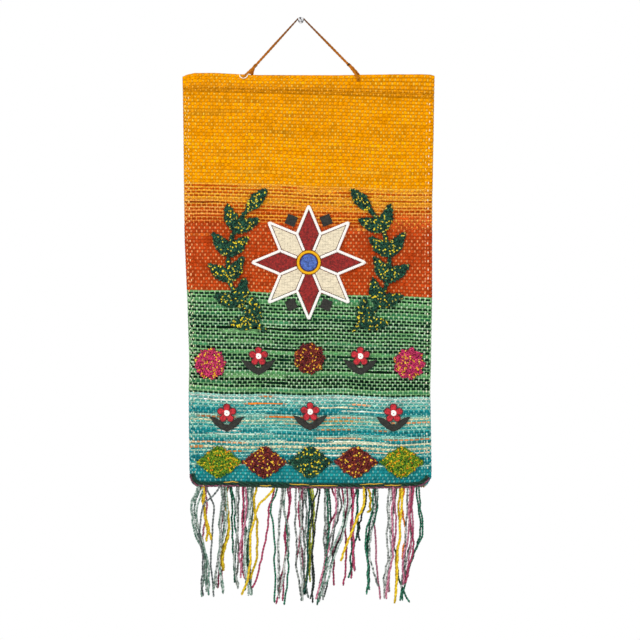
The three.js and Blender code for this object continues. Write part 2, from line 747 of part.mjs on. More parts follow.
function wreathBranch(side) {
  const leaves = [];
  for (let pair = 0; pair <= LEAF_PAIRS; pair += 1) {
    const degrees = WREATH_START + ((WREATH_END - WREATH_START) * (pair + 0.5)) / (LEAF_PAIRS + 0.5);
    const at = wreathPoint(degrees, side);
    const ahead = wreathPoint(degrees + 1, side);
    const along = Math.atan2(ahead.y - at.y, ahead.x - at.x);
    const turns = pair === LEAF_PAIRS ? [0] : [LEAF_SPLAY, -LEAF_SPLAY];
    for (const splay of turns) {
      const angle = along + THREE.MathUtils.degToRad(splay);
      const leaf = pilePad(LEAF).rotateZ(angle);
      leaves.push(leaf.translate(at.x + Math.cos(angle) * LEAF_OUT, at.y + Math.sin(angle) * LEAF_OUT, 0));
    }
  }
  const stem = [];
  for (let i = 0; i <= 2 * STEM_STEPS + 1; i += 1) {
    const outward = i > STEM_STEPS;
    const share = (outward ? 2 * STEM_STEPS + 1 - i : i) / STEM_STEPS;
    const point = wreathPoint(WREATH_START + (WREATH_END - WREATH_START) * share, side);
    const far = 1 + ((outward ? 1 : -1) * STEM_HALF) / WREATH_REACH;
    stem.push(new THREE.Vector2(point.x * far, point.y * far));
  }
  return joined([slab(stem, SEAT_GAP, STEM_HIGH), ...leaves]);
}

function makeWreath() {
  for (const [name, side] of [['wreath_left', -1], ['wreath_right', 1]]) {
    addMesh(name, layOnCloth(wreathBranch(side), STAR_AT), DARK_GREEN, 0.95, STAR_AT);
  }
}

// Round pile rosettes in the green part and a row of pile diamonds along the foot

const ROSETTE = { long: 23, wide: 23, power: 2, lobes: 9, lobeDepth: 0.06, sides: 18 };
const ROSETTES = [
  { name: 'rosette_left', x: -137, z: -519, color: MAGENTA },
  { name: 'rosette_middle', x: 13, z: -511, color: MAROON },
  { name: 'rosette_right', x: 164, z: -519, color: MAGENTA },
];
const FOOT_DIAMOND = { long: 33.5, wide: 25, power: 1.15, lobes: 10, lobeDepth: 0.035, sides: 20 };
const FOOT_X = 14;             // the middle of the row
const FOOT_Z = -668;
const FOOT_PITCH = 69;
const FOOT_COLORS = [OLIVE, MAROON, DARK_GREEN, MAROON, OLIVE];

function makePilePads() {
  for (const { name, x, z, color } of ROSETTES) {
    const at = { x, z };
    addMesh(name, layOnCloth(pilePad(ROSETTE), at), color, 0.95, at);
  }
  FOOT_COLORS.forEach((color, i) => {
    const at = { x: FOOT_X + (i - (FOOT_COLORS.length - 1) / 2) * FOOT_PITCH, z: FOOT_Z };
    addMesh(`foot_diamond_${i + 1}`, layOnCloth(pilePad(FOOT_DIAMOND), at), color, 0.95, at);
  });
}

// Felt flowers: black leaves, red petals over them, a white middle on top

const FLOWERS = [
  { x: -64, z: -516 },
  { x: 90, z: -516 },
  { x: -112, z: -602 },
  { x: 14, z: -600 },
  { x: 140, z: -602 },
];
const PETALS = 5;
const PETAL_REACH = 15;
const PETAL_NOTCH = 8.5;
const FLOWER_UP = 8;           // the middle of the petals above the flower's place
const FLOWER_MIDDLE = 5;
const MIDDLE_SIDES = 10;
const PETAL_STEPS = 4;

function petalOutline() {
  const points = [];
  const steps = PETALS * PETAL_STEPS;
  for (let i = 0; i < steps; i += 1) {
    const angle = (2 * Math.PI * i) / steps + Math.PI / 2;
    const wave = Math.abs(Math.cos((PETALS * (angle - Math.PI / 2)) / 2));
    const far = PETAL_NOTCH + (PETAL_REACH - PETAL_NOTCH) * wave ** 0.6;
    points.push(new THREE.Vector2(Math.cos(angle) * far, Math.sin(angle) * far));
  }
  return points;
}

function leafPairOutline() {
  const half = [[0, -20], [9, -16], [19, -8], [26, 3], [16, 1], [8, -4], [3, -9]];
  const left = half.slice(1).reverse().map(([x, y]) => [-x, y]);
  return [...half, ...left].map(([x, y]) => new THREE.Vector2(x, y));
}

function makeFlowers() {
  FLOWERS.forEach((at, i) => {
    const leaves = slab(leafPairOutline(), SEAT_GAP, FELT);
    const petals = slab(petalOutline(), SEAT_GAP, FELT).translate(0, FLOWER_UP, FELT + LAYER_GAP);
    const top = SEAT_GAP + 2 * (FELT + LAYER_GAP);
    const middle = disc(FLOWER_MIDDLE, top, FELT, MIDDLE_SIDES).translate(0, FLOWER_UP, 0);
    addMesh(`flower_leaves_${i + 1}`, layOnCloth(leaves, at), BLACK, 0.9, at);
    addMesh(`flower_petals_${i + 1}`, layOnCloth(petals, at), RED, 0.9, at);
    addMesh(`flower_middle_${i + 1}`, layOnCloth(middle, at), WHITE, 0.9, at);
  });
}

makeCloth();
makeHemYarns();
makeFringe();
makePin();
makeCords();
makeStar();
makeGems();
makeWreath();
makePilePads();
makeFlowers();

export default hanging;
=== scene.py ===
# Handwoven jute wall hanging on a push pin: real yarns woven over and under each other, felt, couched
# cord and stitched yarn pile on them, a twisted hanging cord and a loose two-ply fringe.
# Tables and sizes are in millimetres, in the part's own frame, and a mesh is made in metres from them.
import math

import bpy
import numpy as np
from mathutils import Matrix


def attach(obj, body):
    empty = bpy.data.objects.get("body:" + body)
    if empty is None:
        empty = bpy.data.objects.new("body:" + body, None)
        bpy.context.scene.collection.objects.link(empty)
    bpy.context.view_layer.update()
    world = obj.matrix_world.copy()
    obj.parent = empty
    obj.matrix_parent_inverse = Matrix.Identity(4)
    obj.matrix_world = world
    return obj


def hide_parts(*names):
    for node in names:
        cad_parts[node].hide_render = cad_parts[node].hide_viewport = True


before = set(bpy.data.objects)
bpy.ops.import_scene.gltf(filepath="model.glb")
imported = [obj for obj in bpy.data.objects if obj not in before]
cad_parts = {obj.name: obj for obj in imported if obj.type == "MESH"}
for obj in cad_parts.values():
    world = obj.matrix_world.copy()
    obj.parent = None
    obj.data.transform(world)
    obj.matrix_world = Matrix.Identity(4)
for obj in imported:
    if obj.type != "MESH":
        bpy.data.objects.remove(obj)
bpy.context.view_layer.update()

MM = 0.001
OUTWARD = np.array([0.0, -1.0, 0.0])
SMALLEST = 1e-9

# The camera stands straight in front, where the photograph's middle falls on the hanging
VIEW_X = 29.0
VIEW_Z = -453.0
VIEW_WIDE = 969.0
LENS = 180.0
SENSOR = 36.0

# Sizes of the cloth and of what is sewn to it
CLOTH_WIDE = 380.0
CLOTH_DROP = 625.0
CLOTH_THICK = 2.8
HEADING_DEPTH = 29.0
SIDE_HEM_EXTRA = 1.2
SEAT_GAP = 0.45
LAYER_GAP = 0.4
FELT = 1.4
PILE = 5.4
CORD_WIDE = 5.0
CORD_HIGH = 3.2

# The sides of the cloth: height, left edge and right edge
SIDES = (
    (-84, -178.4, 201.8), (-181, -177.2, 200.3), (-272, -176.4, 198.6), (-332, -175.4, 198.3),
    (-423, -171.4, 198.2), (-518, -168.4, 196.6), (-560, -169.4, 195.6), (-635, -168.9, 197.0),
    (-680, -168.2, 197.5), (-691, -167.0, 197.0), (-699, -164.6, 193.0), (-704, -159.6, 189.0),
    (-708, -152.0, 184.5),
)
# The top and the lower edge: place across, height
TOP_EDGE = (
    (-178.4, -86.2), (-171, -82.4), (-160, -79.6), (-130, -79.3), (-92, -81.6), (-62, -83.1),
    (59, -83.1), (100, -82.0), (142, -81.3), (183, -80.8), (196, -81.6), (201.8, -83.9),
)
# The straight line that the upper rows keep to, and how deep below the top edge its own dips still show
TOP_LINE = ((-178.4, -80.7), (201.8, -82.0))
TOP_DIP_DEPTH = 16.0
BOTTOM_EDGE = ((-170, -704.8), (-92, -705.4), (0, -707.4), (90, -708.1), (150, -707.5), (198, -706.0))
# The heading's groove: place across, depth below the top edge
HEADING_SEAM = ((-178, 25), (-54, 27), (60, 30), (202, 35))
# How much of the groove's slope the wefts have: distance down, share
WEFT_SLOPE = ((0, 0.0), (29, 1.0), (300, 1.0), (400, 0.95), (460, 0.75), (505, 0.4), (600, 0.15), (625, 0.0))
# The middle of the cloth off its back, up the turned heading (below 0), over its fold and down the front
HEADING_FOLD = (
    (-29, -0.6), (-26, 0.3), (-20, 1.1), (-11, 1.2), (-3.5, 1.2), (-1.2, 1.5), (0, 2.2), (1.2, 3.0),
    (3.5, 3.4), (11, 4.0), (21, 3.5), (26.5, 2.3), (29, 1.0), (32, 1.5), (36, 1.4), (640, 1.4),
)
FOLD_RADIUS = 1.2
# The turned side hem: distance from the edge along the cloth (below 0 behind), distance in, and out
HEM_FOLD = (
    (-8, 7.6, -1.3), (-4, 3.9, -1.4), (-2, 1.6, -1.3), (-1, 0.6, -0.9), (0, 0.2, 0.0), (1, 0.6, 0.6),
    (2, 1.6, 0.95), (4, 3.8, 1.0), (8, 8.0, 0.85), (13, 13.0, 0.0),
)
HEM_START = 34.0
# How far the cloth stands off the wall, with its soft waves: height, across, down, phase
STAND_OFF = 3.4
TOP_STAND_OFF = 2.8
TOP_REACH = 70.0
WAVES = ((1.3, 420, 900, 0.6), (0.8, 175, -520, 2.1), (0.5, -230, 280, 4.0))


# Small tools for numbers

def look_up(rows, at, value=1):
    """The value of a table's row at a place, in a straight line between two rows."""
    ordered = sorted(rows)
    return np.interp(at, [row[0] for row in ordered], [row[value] for row in ordered])


def unit(vectors):
    return vectors / np.maximum(np.linalg.norm(vectors, axis=-1, keepdims=True), SMALLEST)


def linear(code):
    """An sRGB hex colour as linear red, green and blue."""
    parts = [int(code[i:i + 2], 16) / 255 for i in (0, 2, 4)]
    return np.array([c / 12.92 if c <= 0.04045 else ((c + 0.055) / 1.055) ** 2.4 for c in parts])


def drift(random, rows, steps, knots):
    """Soft random waves from about -1 to 1, one row for each yarn, with so many knots along it."""
    places = np.linspace(0, knots - 1, steps)
    values = random.uniform(-1, 1, (rows, knots))
    return np.array([np.interp(places, np.arange(knots), row) for row in values])


def smooth_curve(points, steps):
    """A Catmull-Rom curve through the points, as so many places evenly along it."""
    points = np.asarray(points, float)
    ends = np.vstack([2 * points[0] - points[1], points, 2 * points[-1] - points[-2]])
    fine = []
    for i in range(len(points) - 1):
        a, b, c, d = ends[i:i + 4]
        t = np.linspace(0, 1, 12, endpoint=False)[:, None]
        fine.append(0.5 * (2 * b + (c - a) * t + (2 * a - 5 * b + 4 * c - d) * t ** 2
                           + (3 * b - a - 3 * c + d) * t ** 3))
    fine = np.vstack([*fine, points[-1:]])
    run = np.concatenate([[0], np.cumsum(np.linalg.norm(np.diff(fine, axis=0), axis=1))])
    places = np.linspace(0, run[-1], steps)
    return np.column_stack([np.interp(places, run, fine[:, i]) for i in range(fine.shape[1])])


# The cloth's own surface

def back_of(x, z):
    near_top = (z + 84) / TOP_REACH
    off = STAND_OFF + TOP_STAND_OFF * np.exp(-near_top ** 2)
    for high, across, down, phase in WAVES:
        off = off + high * np.sin(2 * np.pi * (x / across + z / down) + phase)
    return off


def front_of(x, z):
    return back_of(x, z) + CLOTH_THICK


def cloth_middle(across, down):
    """The middle of the cloth's thickness, across from its left edge and down from its top fold. Across
    runs on past 0 and the full width round the side hems, and down past 0 behind the heading."""
    across, down = np.broadcast_arrays(np.asarray(across, float), np.asarray(down, float))
    left_half = across < CLOTH_WIDE / 2
    near = np.where(left_half, across, CLOTH_WIDE - across)
    inward = np.where(near < HEM_FOLD[-1][0], look_up(HEM_FOLD, near), near)
    in_hem = np.clip((down - HEADING_DEPTH) / (HEM_START - HEADING_DEPTH), 0, 1)
    hem_out = look_up(HEM_FOLD, near, 2) * np.where(near > 0, in_hem, 1)
    share = np.where(left_half, inward, CLOTH_WIDE - inward) / CLOTH_WIDE
    top_x = SIDES[0][1] + share * (SIDES[0][2] - SIDES[0][1])
    line_z = look_up(TOP_LINE, top_x)
    top_z = line_z + (look_up(TOP_EDGE, top_x) - line_z) * np.exp(-np.abs(down) / TOP_DIP_DEPTH)
    drop = np.hypot(down, FOLD_RADIUS) / CLOTH_DROP * (line_z - look_up(BOTTOM_EDGE, top_x))
    slope = (look_up(HEADING_SEAM, top_x) - HEADING_DEPTH) * look_up(WEFT_SLOPE, np.abs(down))
    z = top_z - drop - slope
    left, right = look_up(SIDES, z, 1), look_up(SIDES, z, 2)
    x = left + share * (right - left)
    out = back_of(x, z) + look_up(HEADING_FOLD, down) + hem_out
    return np.stack([x, -out, z], axis=-1)


def cloth_normal(across, down):
    step = 0.3
    along = cloth_middle(np.add(across, step), down) - cloth_middle(np.subtract(across, step), down)
    fall = cloth_middle(across, np.add(down, step)) - cloth_middle(across, np.subtract(down, step))
    return unit(np.cross(fall, along))


def on_cloth(across, down, lift):
    """A place lifted off the middle of the cloth, and the cloth's normal there."""
    normal = cloth_normal(across, down)
    return cloth_middle(across, down) + normal * np.asarray(lift)[..., None], normal


# Meshes of yarn

def frames(paths, up):
    along = unit(np.gradient(paths, axis=-2))
    side = unit(np.cross(np.broadcast_to(up, paths.shape), along))
    return side, np.cross(along, side)


def tubes(paths, up, wide, high, sides, dye):
    """Closed tubes along the paths, of shape (yarns, steps, 3), with a flat top: wide and high are half
    their section's size, and dye their linear colour, for each yarn, each step or each place round one."""
    count, steps = paths.shape[:2]
    side, up = frames(paths, up)
    turn = np.pi / 2 + 2 * np.pi * (np.arange(sides) + 0.5) / sides
    wide = np.broadcast_to(wide, (count, steps))[..., None, None] / np.abs(np.cos(turn)).max()
    high = np.broadcast_to(high, (count, steps))[..., None, None] / np.abs(np.sin(turn)).max()
    ring = (paths[:, :, None] + np.cos(turn)[:, None] * wide * side[:, :, None]
            + np.sin(turn)[:, None] * high * up[:, :, None])
    dye = np.asarray(dye, float)
    if dye.ndim == 2:
        dye = dye[:, None]
    if dye.ndim == 3:
        dye = np.repeat(np.broadcast_to(dye, (count, steps, 3))[:, :, None], sides, axis=2)
    run = np.zeros((count, steps))
    run[:, 1:] = np.cumsum(np.linalg.norm(np.diff(paths, axis=1), axis=-1), axis=1)
    return {"points": ring, "dye": dye, "run": run}


def tube_faces(first, count, steps, sides):
    """A tube's quads with their corners' places along and round it, then its two end caps."""
    index = first + np.arange(count * steps * sides).reshape(count, steps, sides)
    after = np.roll(index, -1, axis=2)
    quads = np.stack([index[:, :-1], after[:, :-1], after[:, 1:], index[:, 1:]], axis=-1)
    caps = np.concatenate([index[:, 0, ::-1], index[:, -1]])
    return quads.reshape(-1, 4), caps


def corner_places(run, sides):
    """For each quad corner: its yarn, how far along it is and how far round."""
    count, steps = run.shape
    near, far = run[:, :-1, None], run[:, 1:, None]
    shape = (count, steps - 1, sides)
    start, end = np.broadcast_to(near, shape), np.broadcast_to(far, shape)
    round_low = np.broadcast_to(np.arange(sides) / sides, shape)
    round_high = round_low + 1 / sides
    along = np.stack([start, start, end, end], axis=-1).reshape(-1)
    around = np.stack([round_low, round_high, round_high, round_low], axis=-1).reshape(-1)
    yarn = np.repeat(np.arange(count), (steps - 1) * sides * 4)
    return yarn, along, around


def yarn_mesh(name, groups, columns=None):
    """One mesh of several groups of tubes, with their colour as the attribute Dye, their own place along
    and round each yarn as the map Yarn, and a map of strips for the bake."""
    total = sum(group["points"].shape[0] for group in groups)
    columns = columns or max(1, round(math.sqrt(total / 10)))
    lines = math.ceil(total / columns)
    points, colours, faces, yarn_uv, bake_uv = [], [], [], [], []
    first = done = 0
    longest = max(group["run"].max() for group in groups)
    for group in groups:
        count, steps, sides = group["points"].shape[:3]
        quads, caps = tube_faces(first, count, steps, sides)
        yarn, along, around = corner_places(group["run"], sides)
        cap_yarn = np.repeat(np.tile(np.arange(count), 2), sides)
        cap_along = np.repeat(np.concatenate([group["run"][:, 0], group["run"][:, -1]]), sides)
        cap_around = np.tile(np.arange(sides) / sides, 2 * count)
        yarn = np.concatenate([yarn, cap_yarn]) + done
        along = np.concatenate([along, cap_along])
        around = np.concatenate([around, cap_around])
        yarn_uv.append(np.column_stack([along, around]))
        strip = np.column_stack([(yarn % columns + 0.02 + 0.96 * along / longest) / columns,
                                 (yarn // columns + 0.05 + 0.9 * around) / lines])
        bake_uv.append(strip)
        points.append(group["points"].reshape(-1, 3))
        colours.append(group["dye"].reshape(-1, 3))
        faces += quads.tolist() + caps.tolist()
        first += count * steps * sides
        done += count
    mesh = solid_mesh(name, np.vstack(points), faces, np.vstack(colours))
    for map_name, places in (("Yarn", yarn_uv), ("OFBake", bake_uv)):
        layer = mesh.uv_layers.new(name=map_name)
        layer.data.foreach_set("uv", np.vstack(places).astype(np.float32).ravel())
    return shown(name, mesh)


def solid_mesh(name, points, faces, colours=None):
    mesh = bpy.data.meshes.new(name)
    mesh.from_pydata((points * MM).tolist(), [], faces)
    mesh.shade_smooth()
    if colours is not None:
        dye = mesh.attributes.new("Dye", "FLOAT_COLOR", "POINT")
        rgba = np.column_stack([colours, np.ones(len(colours))])
        dye.data.foreach_set("color", rgba.astype(np.float32).ravel())
    return mesh


def shown(name, mesh):
    piece = bpy.data.objects.new(name, mesh)
    bpy.context.scene.collection.objects.link(piece)
    return piece


def finished(piece, material, slot, *nodes):
    """Gives a piece its material and its place in the frame."""
    if material is not None:
        piece.data.materials.clear()
        piece.data.materials.append(material)
    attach(piece, "root")
    if nodes:
        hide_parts(*nodes)
    return piece


def twisted(path, up, radius, offset, lay, plies=2, phase=0.0, flat=1.0):
    """The plies of one twisted yarn, round its middle line: lay is the length of one turn. flat makes the
    yarn wider than it is high."""
    path = np.asarray(path, float)
    side, up = frames(path[None], up)
    run = np.concatenate([[0], np.cumsum(np.linalg.norm(np.diff(path, axis=0), axis=1))])
    turned = 2 * np.pi * run / lay + phase
    found = []
    for ply in range(plies):
        angle = turned + 2 * np.pi * ply / plies
        swing = (offset * flat * np.cos(angle))[:, None] * side[0]
        rise = (offset / flat * np.sin(angle))[:, None] * up[0]
        found.append(path + swing + rise)
    return np.array(found), np.broadcast_to(np.asarray(radius, float), (plies, len(path)))


# Materials

def add_node(tree, kind, settings=None, links=None):
    """Adds a node with its settings, which are properties or input values, and its links."""
    node = tree.nodes.new(kind)
    for key, value in (settings or {}).items():
        if isinstance(key, str) and hasattr(node, key):
            setattr(node, key, value)
        else:
            node.inputs[key].default_value = value
    for key, source in (links or {}).items():
        tree.links.new(source, node.inputs[key])
    return node


def new_material(name, settings):
    material = bpy.data.materials.new(name)
    material.use_nodes = True
    tree = material.node_tree
    tree.nodes.clear()
    shader = add_node(tree, "ShaderNodeBsdfPrincipled", settings)
    add_node(tree, "ShaderNodeOutputMaterial", links={"Surface": shader.outputs["BSDF"]})
    return material, tree, shader


def yarn_material(name, turn, ridges, depth, shade, fibre, settings):
    """A dyed yarn: its colour is the attribute Dye. turn is the length of one turn of its twist, ridges how
    many strands show round it, depth the height of its relief, shade how dark the twist's furrows are and
    fibre how strongly the fibres streak it."""
    material, tree, shader = new_material(name, settings)
    dye = add_node(tree, "ShaderNodeAttribute", {"attribute_name": "Dye"})
    place = add_node(tree, "ShaderNodeUVMap", {"uv_map": "Yarn"})
    slant = (2 * math.pi / turn, 2 * math.pi * ridges, 0)
    phase = add_node(tree, "ShaderNodeVectorMath", {"operation": "DOT_PRODUCT", 1: slant},
                     {0: place.outputs["UV"]})
    ridge = add_node(tree, "ShaderNodeMath", {"operation": "SINE"}, {0: phase.outputs["Value"]})
    streak_place = add_node(tree, "ShaderNodeVectorMath", {"operation": "MULTIPLY", 1: (0.9, 5.0, 1.0)},
                            {0: place.outputs["UV"]})
    streak = add_node(tree, "ShaderNodeTexNoise", {"Scale": 1.0, "Detail": 3.0, "Roughness": 0.65},
                      {"Vector": streak_place.outputs["Vector"]})
    # The twist's furrows darken the colour: painted shade in the grooves between its strands
    furrow = add_node(tree, "ShaderNodeMath", {"operation": "MULTIPLY_ADD", 1: shade, 2: 1.0 - shade},
                      {0: ridge.outputs["Value"]})
    tone = add_node(tree, "ShaderNodeMath", {"operation": "MULTIPLY_ADD", 1: fibre, 2: 1.0 - fibre / 2},
                    {0: streak.outputs["Fac"]})
    both = add_node(tree, "ShaderNodeMath", {"operation": "MULTIPLY"},
                    {0: furrow.outputs["Value"], 1: tone.outputs["Value"]})
    colour = add_node(tree, "ShaderNodeVectorMath", {"operation": "SCALE"},
                      {0: dye.outputs["Color"], "Scale": both.outputs["Value"]})
    height = add_node(tree, "ShaderNodeMath", {"operation": "ADD"},
                      {0: ridge.outputs["Value"], 1: streak.outputs["Fac"]})
    relief = add_node(tree, "ShaderNodeBump", {"Strength": 0.7, "Distance": depth * MM},
                      {"Height": height.outputs["Value"]})
    tree.links.new(colour.outputs["Vector"], shader.inputs["Base Color"])
    tree.links.new(relief.outputs["Normal"], shader.inputs["Normal"])
    return material


def felt_material(name, code, dark=1.0):
    """Pressed wool felt: a dense mat of short fibres, matt, with a faint cloudy tone and a soft nap."""
    settings = {"Roughness": 0.95, "Sheen Weight": 0.25, "Sheen Roughness": 0.6, "Specular IOR Level": 0.2}
    material, tree, shader = new_material(name, settings)
    place = add_node(tree, "ShaderNodeTexCoord")
    fibre = add_node(tree, "ShaderNodeTexNoise", {"Scale": 900.0, "Detail": 4.0, "Distortion": 1.2},
                     {"Vector": place.outputs["Object"]})
    cloud = add_node(tree, "ShaderNodeTexNoise", {"Scale": 330.0, "Detail": 2.0, "Distortion": 0.6},
                     {"Vector": place.outputs["Object"]})
    mixed = add_node(tree, "ShaderNodeMath", {"operation": "ADD"},
                     {0: fibre.outputs["Fac"], 1: cloud.outputs["Fac"]})
    base = linear(code) * dark
    ramp = add_node(tree, "ShaderNodeValToRGB", links={"Fac": mixed.outputs["Value"]})
    ramp.color_ramp.elements[0].position = 0.4
    ramp.color_ramp.elements[0].color = (*(base * 0.42), 1)
    ramp.color_ramp.elements[1].position = 0.62
    ramp.color_ramp.elements[1].color = (*np.minimum(base * 1.6, 1), 1)
    halved = add_node(tree, "ShaderNodeMath", {"operation": "MULTIPLY", 1: 0.5}, {0: mixed.outputs["Value"]})
    tree.links.new(halved.outputs["Value"], ramp.inputs["Fac"])
    relief = add_node(tree, "ShaderNodeBump", {"Strength": 0.5, "Distance": 0.3 * MM},
                      {"Height": fibre.outputs["Fac"]})
    tree.links.new(ramp.outputs["Color"], shader.inputs["Base Color"])
    tree.links.new(relief.outputs["Normal"], shader.inputs["Normal"])
    return material


def burlap_material(name, code, pitch):
    """Undyed burlap: a plain weave of coarse bast threads, pitch apart, with uneven threads and flecks. Its colour
    darkens between the threads, painted shade of the weave's grooves.
    """
    material, tree, shader = new_material(name, {"Roughness": 0.9, "Sheen Weight": 0.1})
    place = add_node(tree, "ShaderNodeTexCoord")
    bend = add_node(tree, "ShaderNodeTexNoise", {"Scale": 120.0, "Detail": 2.0},
                    {"Vector": place.outputs["Object"]})
    moved = add_node(tree, "ShaderNodeVectorMath", {"operation": "MULTIPLY_ADD", 1: (pitch * MM * 0.7,) * 3},
                     {0: bend.outputs["Color"], 2: place.outputs["Object"]})
    waves = []
    for direction in ((1, 0, 0), (0, 0, 1)):
        slant = tuple(math.pi / (pitch * MM) * c for c in direction)
        phase = add_node(tree, "ShaderNodeVectorMath", {"operation": "DOT_PRODUCT", 1: slant},
                         {0: moved.outputs["Vector"]})
        waves.append(add_node(tree, "ShaderNodeMath", {"operation": "SINE"}, {0: phase.outputs["Value"]}))
    weave = add_node(tree, "ShaderNodeMath", {"operation": "MULTIPLY"},
                     {0: waves[0].outputs["Value"], 1: waves[1].outputs["Value"]})
    raised = add_node(tree, "ShaderNodeMath", {"operation": "ABSOLUTE"}, {0: weave.outputs["Value"]})
    stretched = add_node(tree, "ShaderNodeVectorMath", {"operation": "MULTIPLY", 1: (0.35, 1.0, 1.0)},
                         {0: place.outputs["Object"]})
    fleck = add_node(tree, "ShaderNodeTexNoise", {"Scale": 480.0, "Detail": 2.0},
                     {"Vector": stretched.outputs["Vector"]})
    # Low places of the weave darken the colour: painted shade between the threads
    tone = add_node(tree, "ShaderNodeMath", {"operation": "MULTIPLY_ADD", 1: 0.5},
                    {0: raised.outputs["Value"], 2: fleck.outputs["Fac"]})
    ramp = add_node(tree, "ShaderNodeValToRGB", links={"Fac": tone.outputs["Value"]})
    ramp.color_ramp.elements[0].position = 0.4
    ramp.color_ramp.elements[0].color = (*(linear(code) * 0.5), 1)
    ramp.color_ramp.elements[1].position = 0.8
    ramp.color_ramp.elements[1].color = (*linear(code), 1)
    relief = add_node(tree, "ShaderNodeBump", {"Strength": 0.8, "Distance": 0.4 * MM},
                      {"Height": raised.outputs["Value"]})
    tree.links.new(ramp.outputs["Color"], shader.inputs["Base Color"])
    tree.links.new(relief.outputs["Normal"], shader.inputs["Normal"])
    return material


def plain_material(name, code, settings):
    """A smooth moulded or drawn material with a slight unevenness in its gloss."""
    material, tree, shader = new_material(name, settings)
    place = add_node(tree, "ShaderNodeTexCoord")
    haze = add_node(tree, "ShaderNodeTexNoise", {"Scale": 400.0, "Detail": 2.0},
                    {"Vector": place.outputs["Object"]})
    gloss = add_node(tree, "ShaderNodeMapRange",
                     {"To Min": settings["Roughness"] * 0.7, "To Max": settings["Roughness"] * 1.5},
                     {"Value": haze.outputs["Fac"]})
    shader.inputs["Base Color"].default_value = (*linear(code), 1)
    tree.links.new(gloss.outputs["Result"], shader.inputs["Roughness"])
    return material


def clear_material(name):
    """Clear plastic: the glints and dark grey patches of the room behind it are painted into its base colour as a
    noise pattern, a painted reflection.
    """
    material, tree, shader = new_material(name, {"Roughness": 0.05, "IOR": 1.59, "Transmission Weight": 0.3,
                                                 "Coat Weight": 0.5})
    place = add_node(tree, "ShaderNodeTexCoord")
    patch = add_node(tree, "ShaderNodeTexNoise", {"Scale": 380.0, "Detail": 0.0},
                     {"Vector": place.outputs["Object"]})
    # The ramp paints the room's glints and dark patches into the base colour: painted reflection
    ramp = add_node(tree, "ShaderNodeValToRGB", links={"Fac": patch.outputs["Fac"]})
    ramp.color_ramp.elements[0].position = 0.43
    ramp.color_ramp.elements[0].color = (*linear("2C2C32"), 1)
    ramp.color_ramp.elements[1].position = 0.56
    ramp.color_ramp.elements[1].color = (*linear("F4F4F6"), 1)
    tree.links.new(ramp.outputs["Color"], shader.inputs["Base Color"])
    return material


# Jute: a coarse bast yarn, single, loosely spun, matt with a faint lustre along its fibres
JUTE = yarn_material("dyed jute yarn, spun", 7.0, 2, 0.22, 0.10, 0.55,
                     {"Roughness": 0.9, "Specular IOR Level": 0.02})
# Acrylic wool yarn: soft two-ply, with a fuzzy halo that lightens its edges
WOOL = yarn_material("acrylic wool yarn, two-ply", 4.0, 1, 0.16, 0.12, 0.5,
                     {"Roughness": 0.9, "Sheen Weight": 0.06, "Specular IOR Level": 0.12})
# Cotton piping cord: smooth soft strands, nearly white
COTTON = yarn_material("cotton cord, twisted", 3.0, 2, 0.12, 0.08, 0.25,
                       {"Roughness": 0.8, "Specular IOR Level": 0.2})
# A thin jute-coloured sheet that shows in the gaps of the weave, darkened as painted shade between the yarns
SHADED_GROUND = yarn_material("jute ground, painted shade in the weave's gaps", 5.0, 0, 0.1, 0.0, 0.5,
                      {"Roughness": 1.0, "Specular IOR Level": 0.0})
# Pressed wool felt, in the five colours of the sewn pieces, with a darker colour along the outline's rim and on the
# side walls
RED_FELT = felt_material("wool felt, red", "B4222C")
DEEP_RED_FELT = felt_material("wool felt, deep red", "841A16")
RED_EDGE = felt_material("wool felt, red cut edge", "5B0F18")
BLACK_FELT = felt_material("wool felt, black", "272722")
BLACK_EDGE = felt_material("wool felt, black cut edge", "181815")
BLUE_FELT = felt_material("wool felt, blue", "435FA6")
BLUE_EDGE = felt_material("wool felt, blue cut edge", "2B2D6E")
BURLAP = burlap_material("undyed burlap, plain weave", "EADCBE", 2.4)
BURLAP_EDGE = burlap_material("undyed burlap, darker rim", "A89D82", 2.4)
# Clear polystyrene, injection moulded and polished: bright glints and a faint bluish grey body, painted into its
# colour as painted reflection
CLEAR = clear_material("clear polystyrene, moulded")
# Nickel-plated steel wire: a cool grey mirror
STEEL = plain_material("nickel-plated steel wire", "B9BCC2", {"Roughness": 0.25, "Metallic": 1.0})


# The camera and the hanging cord come first

def make_camera():
    distance = VIEW_WIDE * LENS / SENSOR
    data = bpy.data.cameras.new("camera")
    data.lens = LENS
    data.sensor_width = SENSOR
    data.clip_end = 50
    camera = bpy.data.objects.new("camera", data)
    camera.location = (VIEW_X * MM, -distance * MM, VIEW_Z * MM)
    camera.rotation_euler = (math.pi / 2, 0, 0)
    bpy.context.scene.collection.objects.link(camera)
    bpy.context.scene.camera = camera


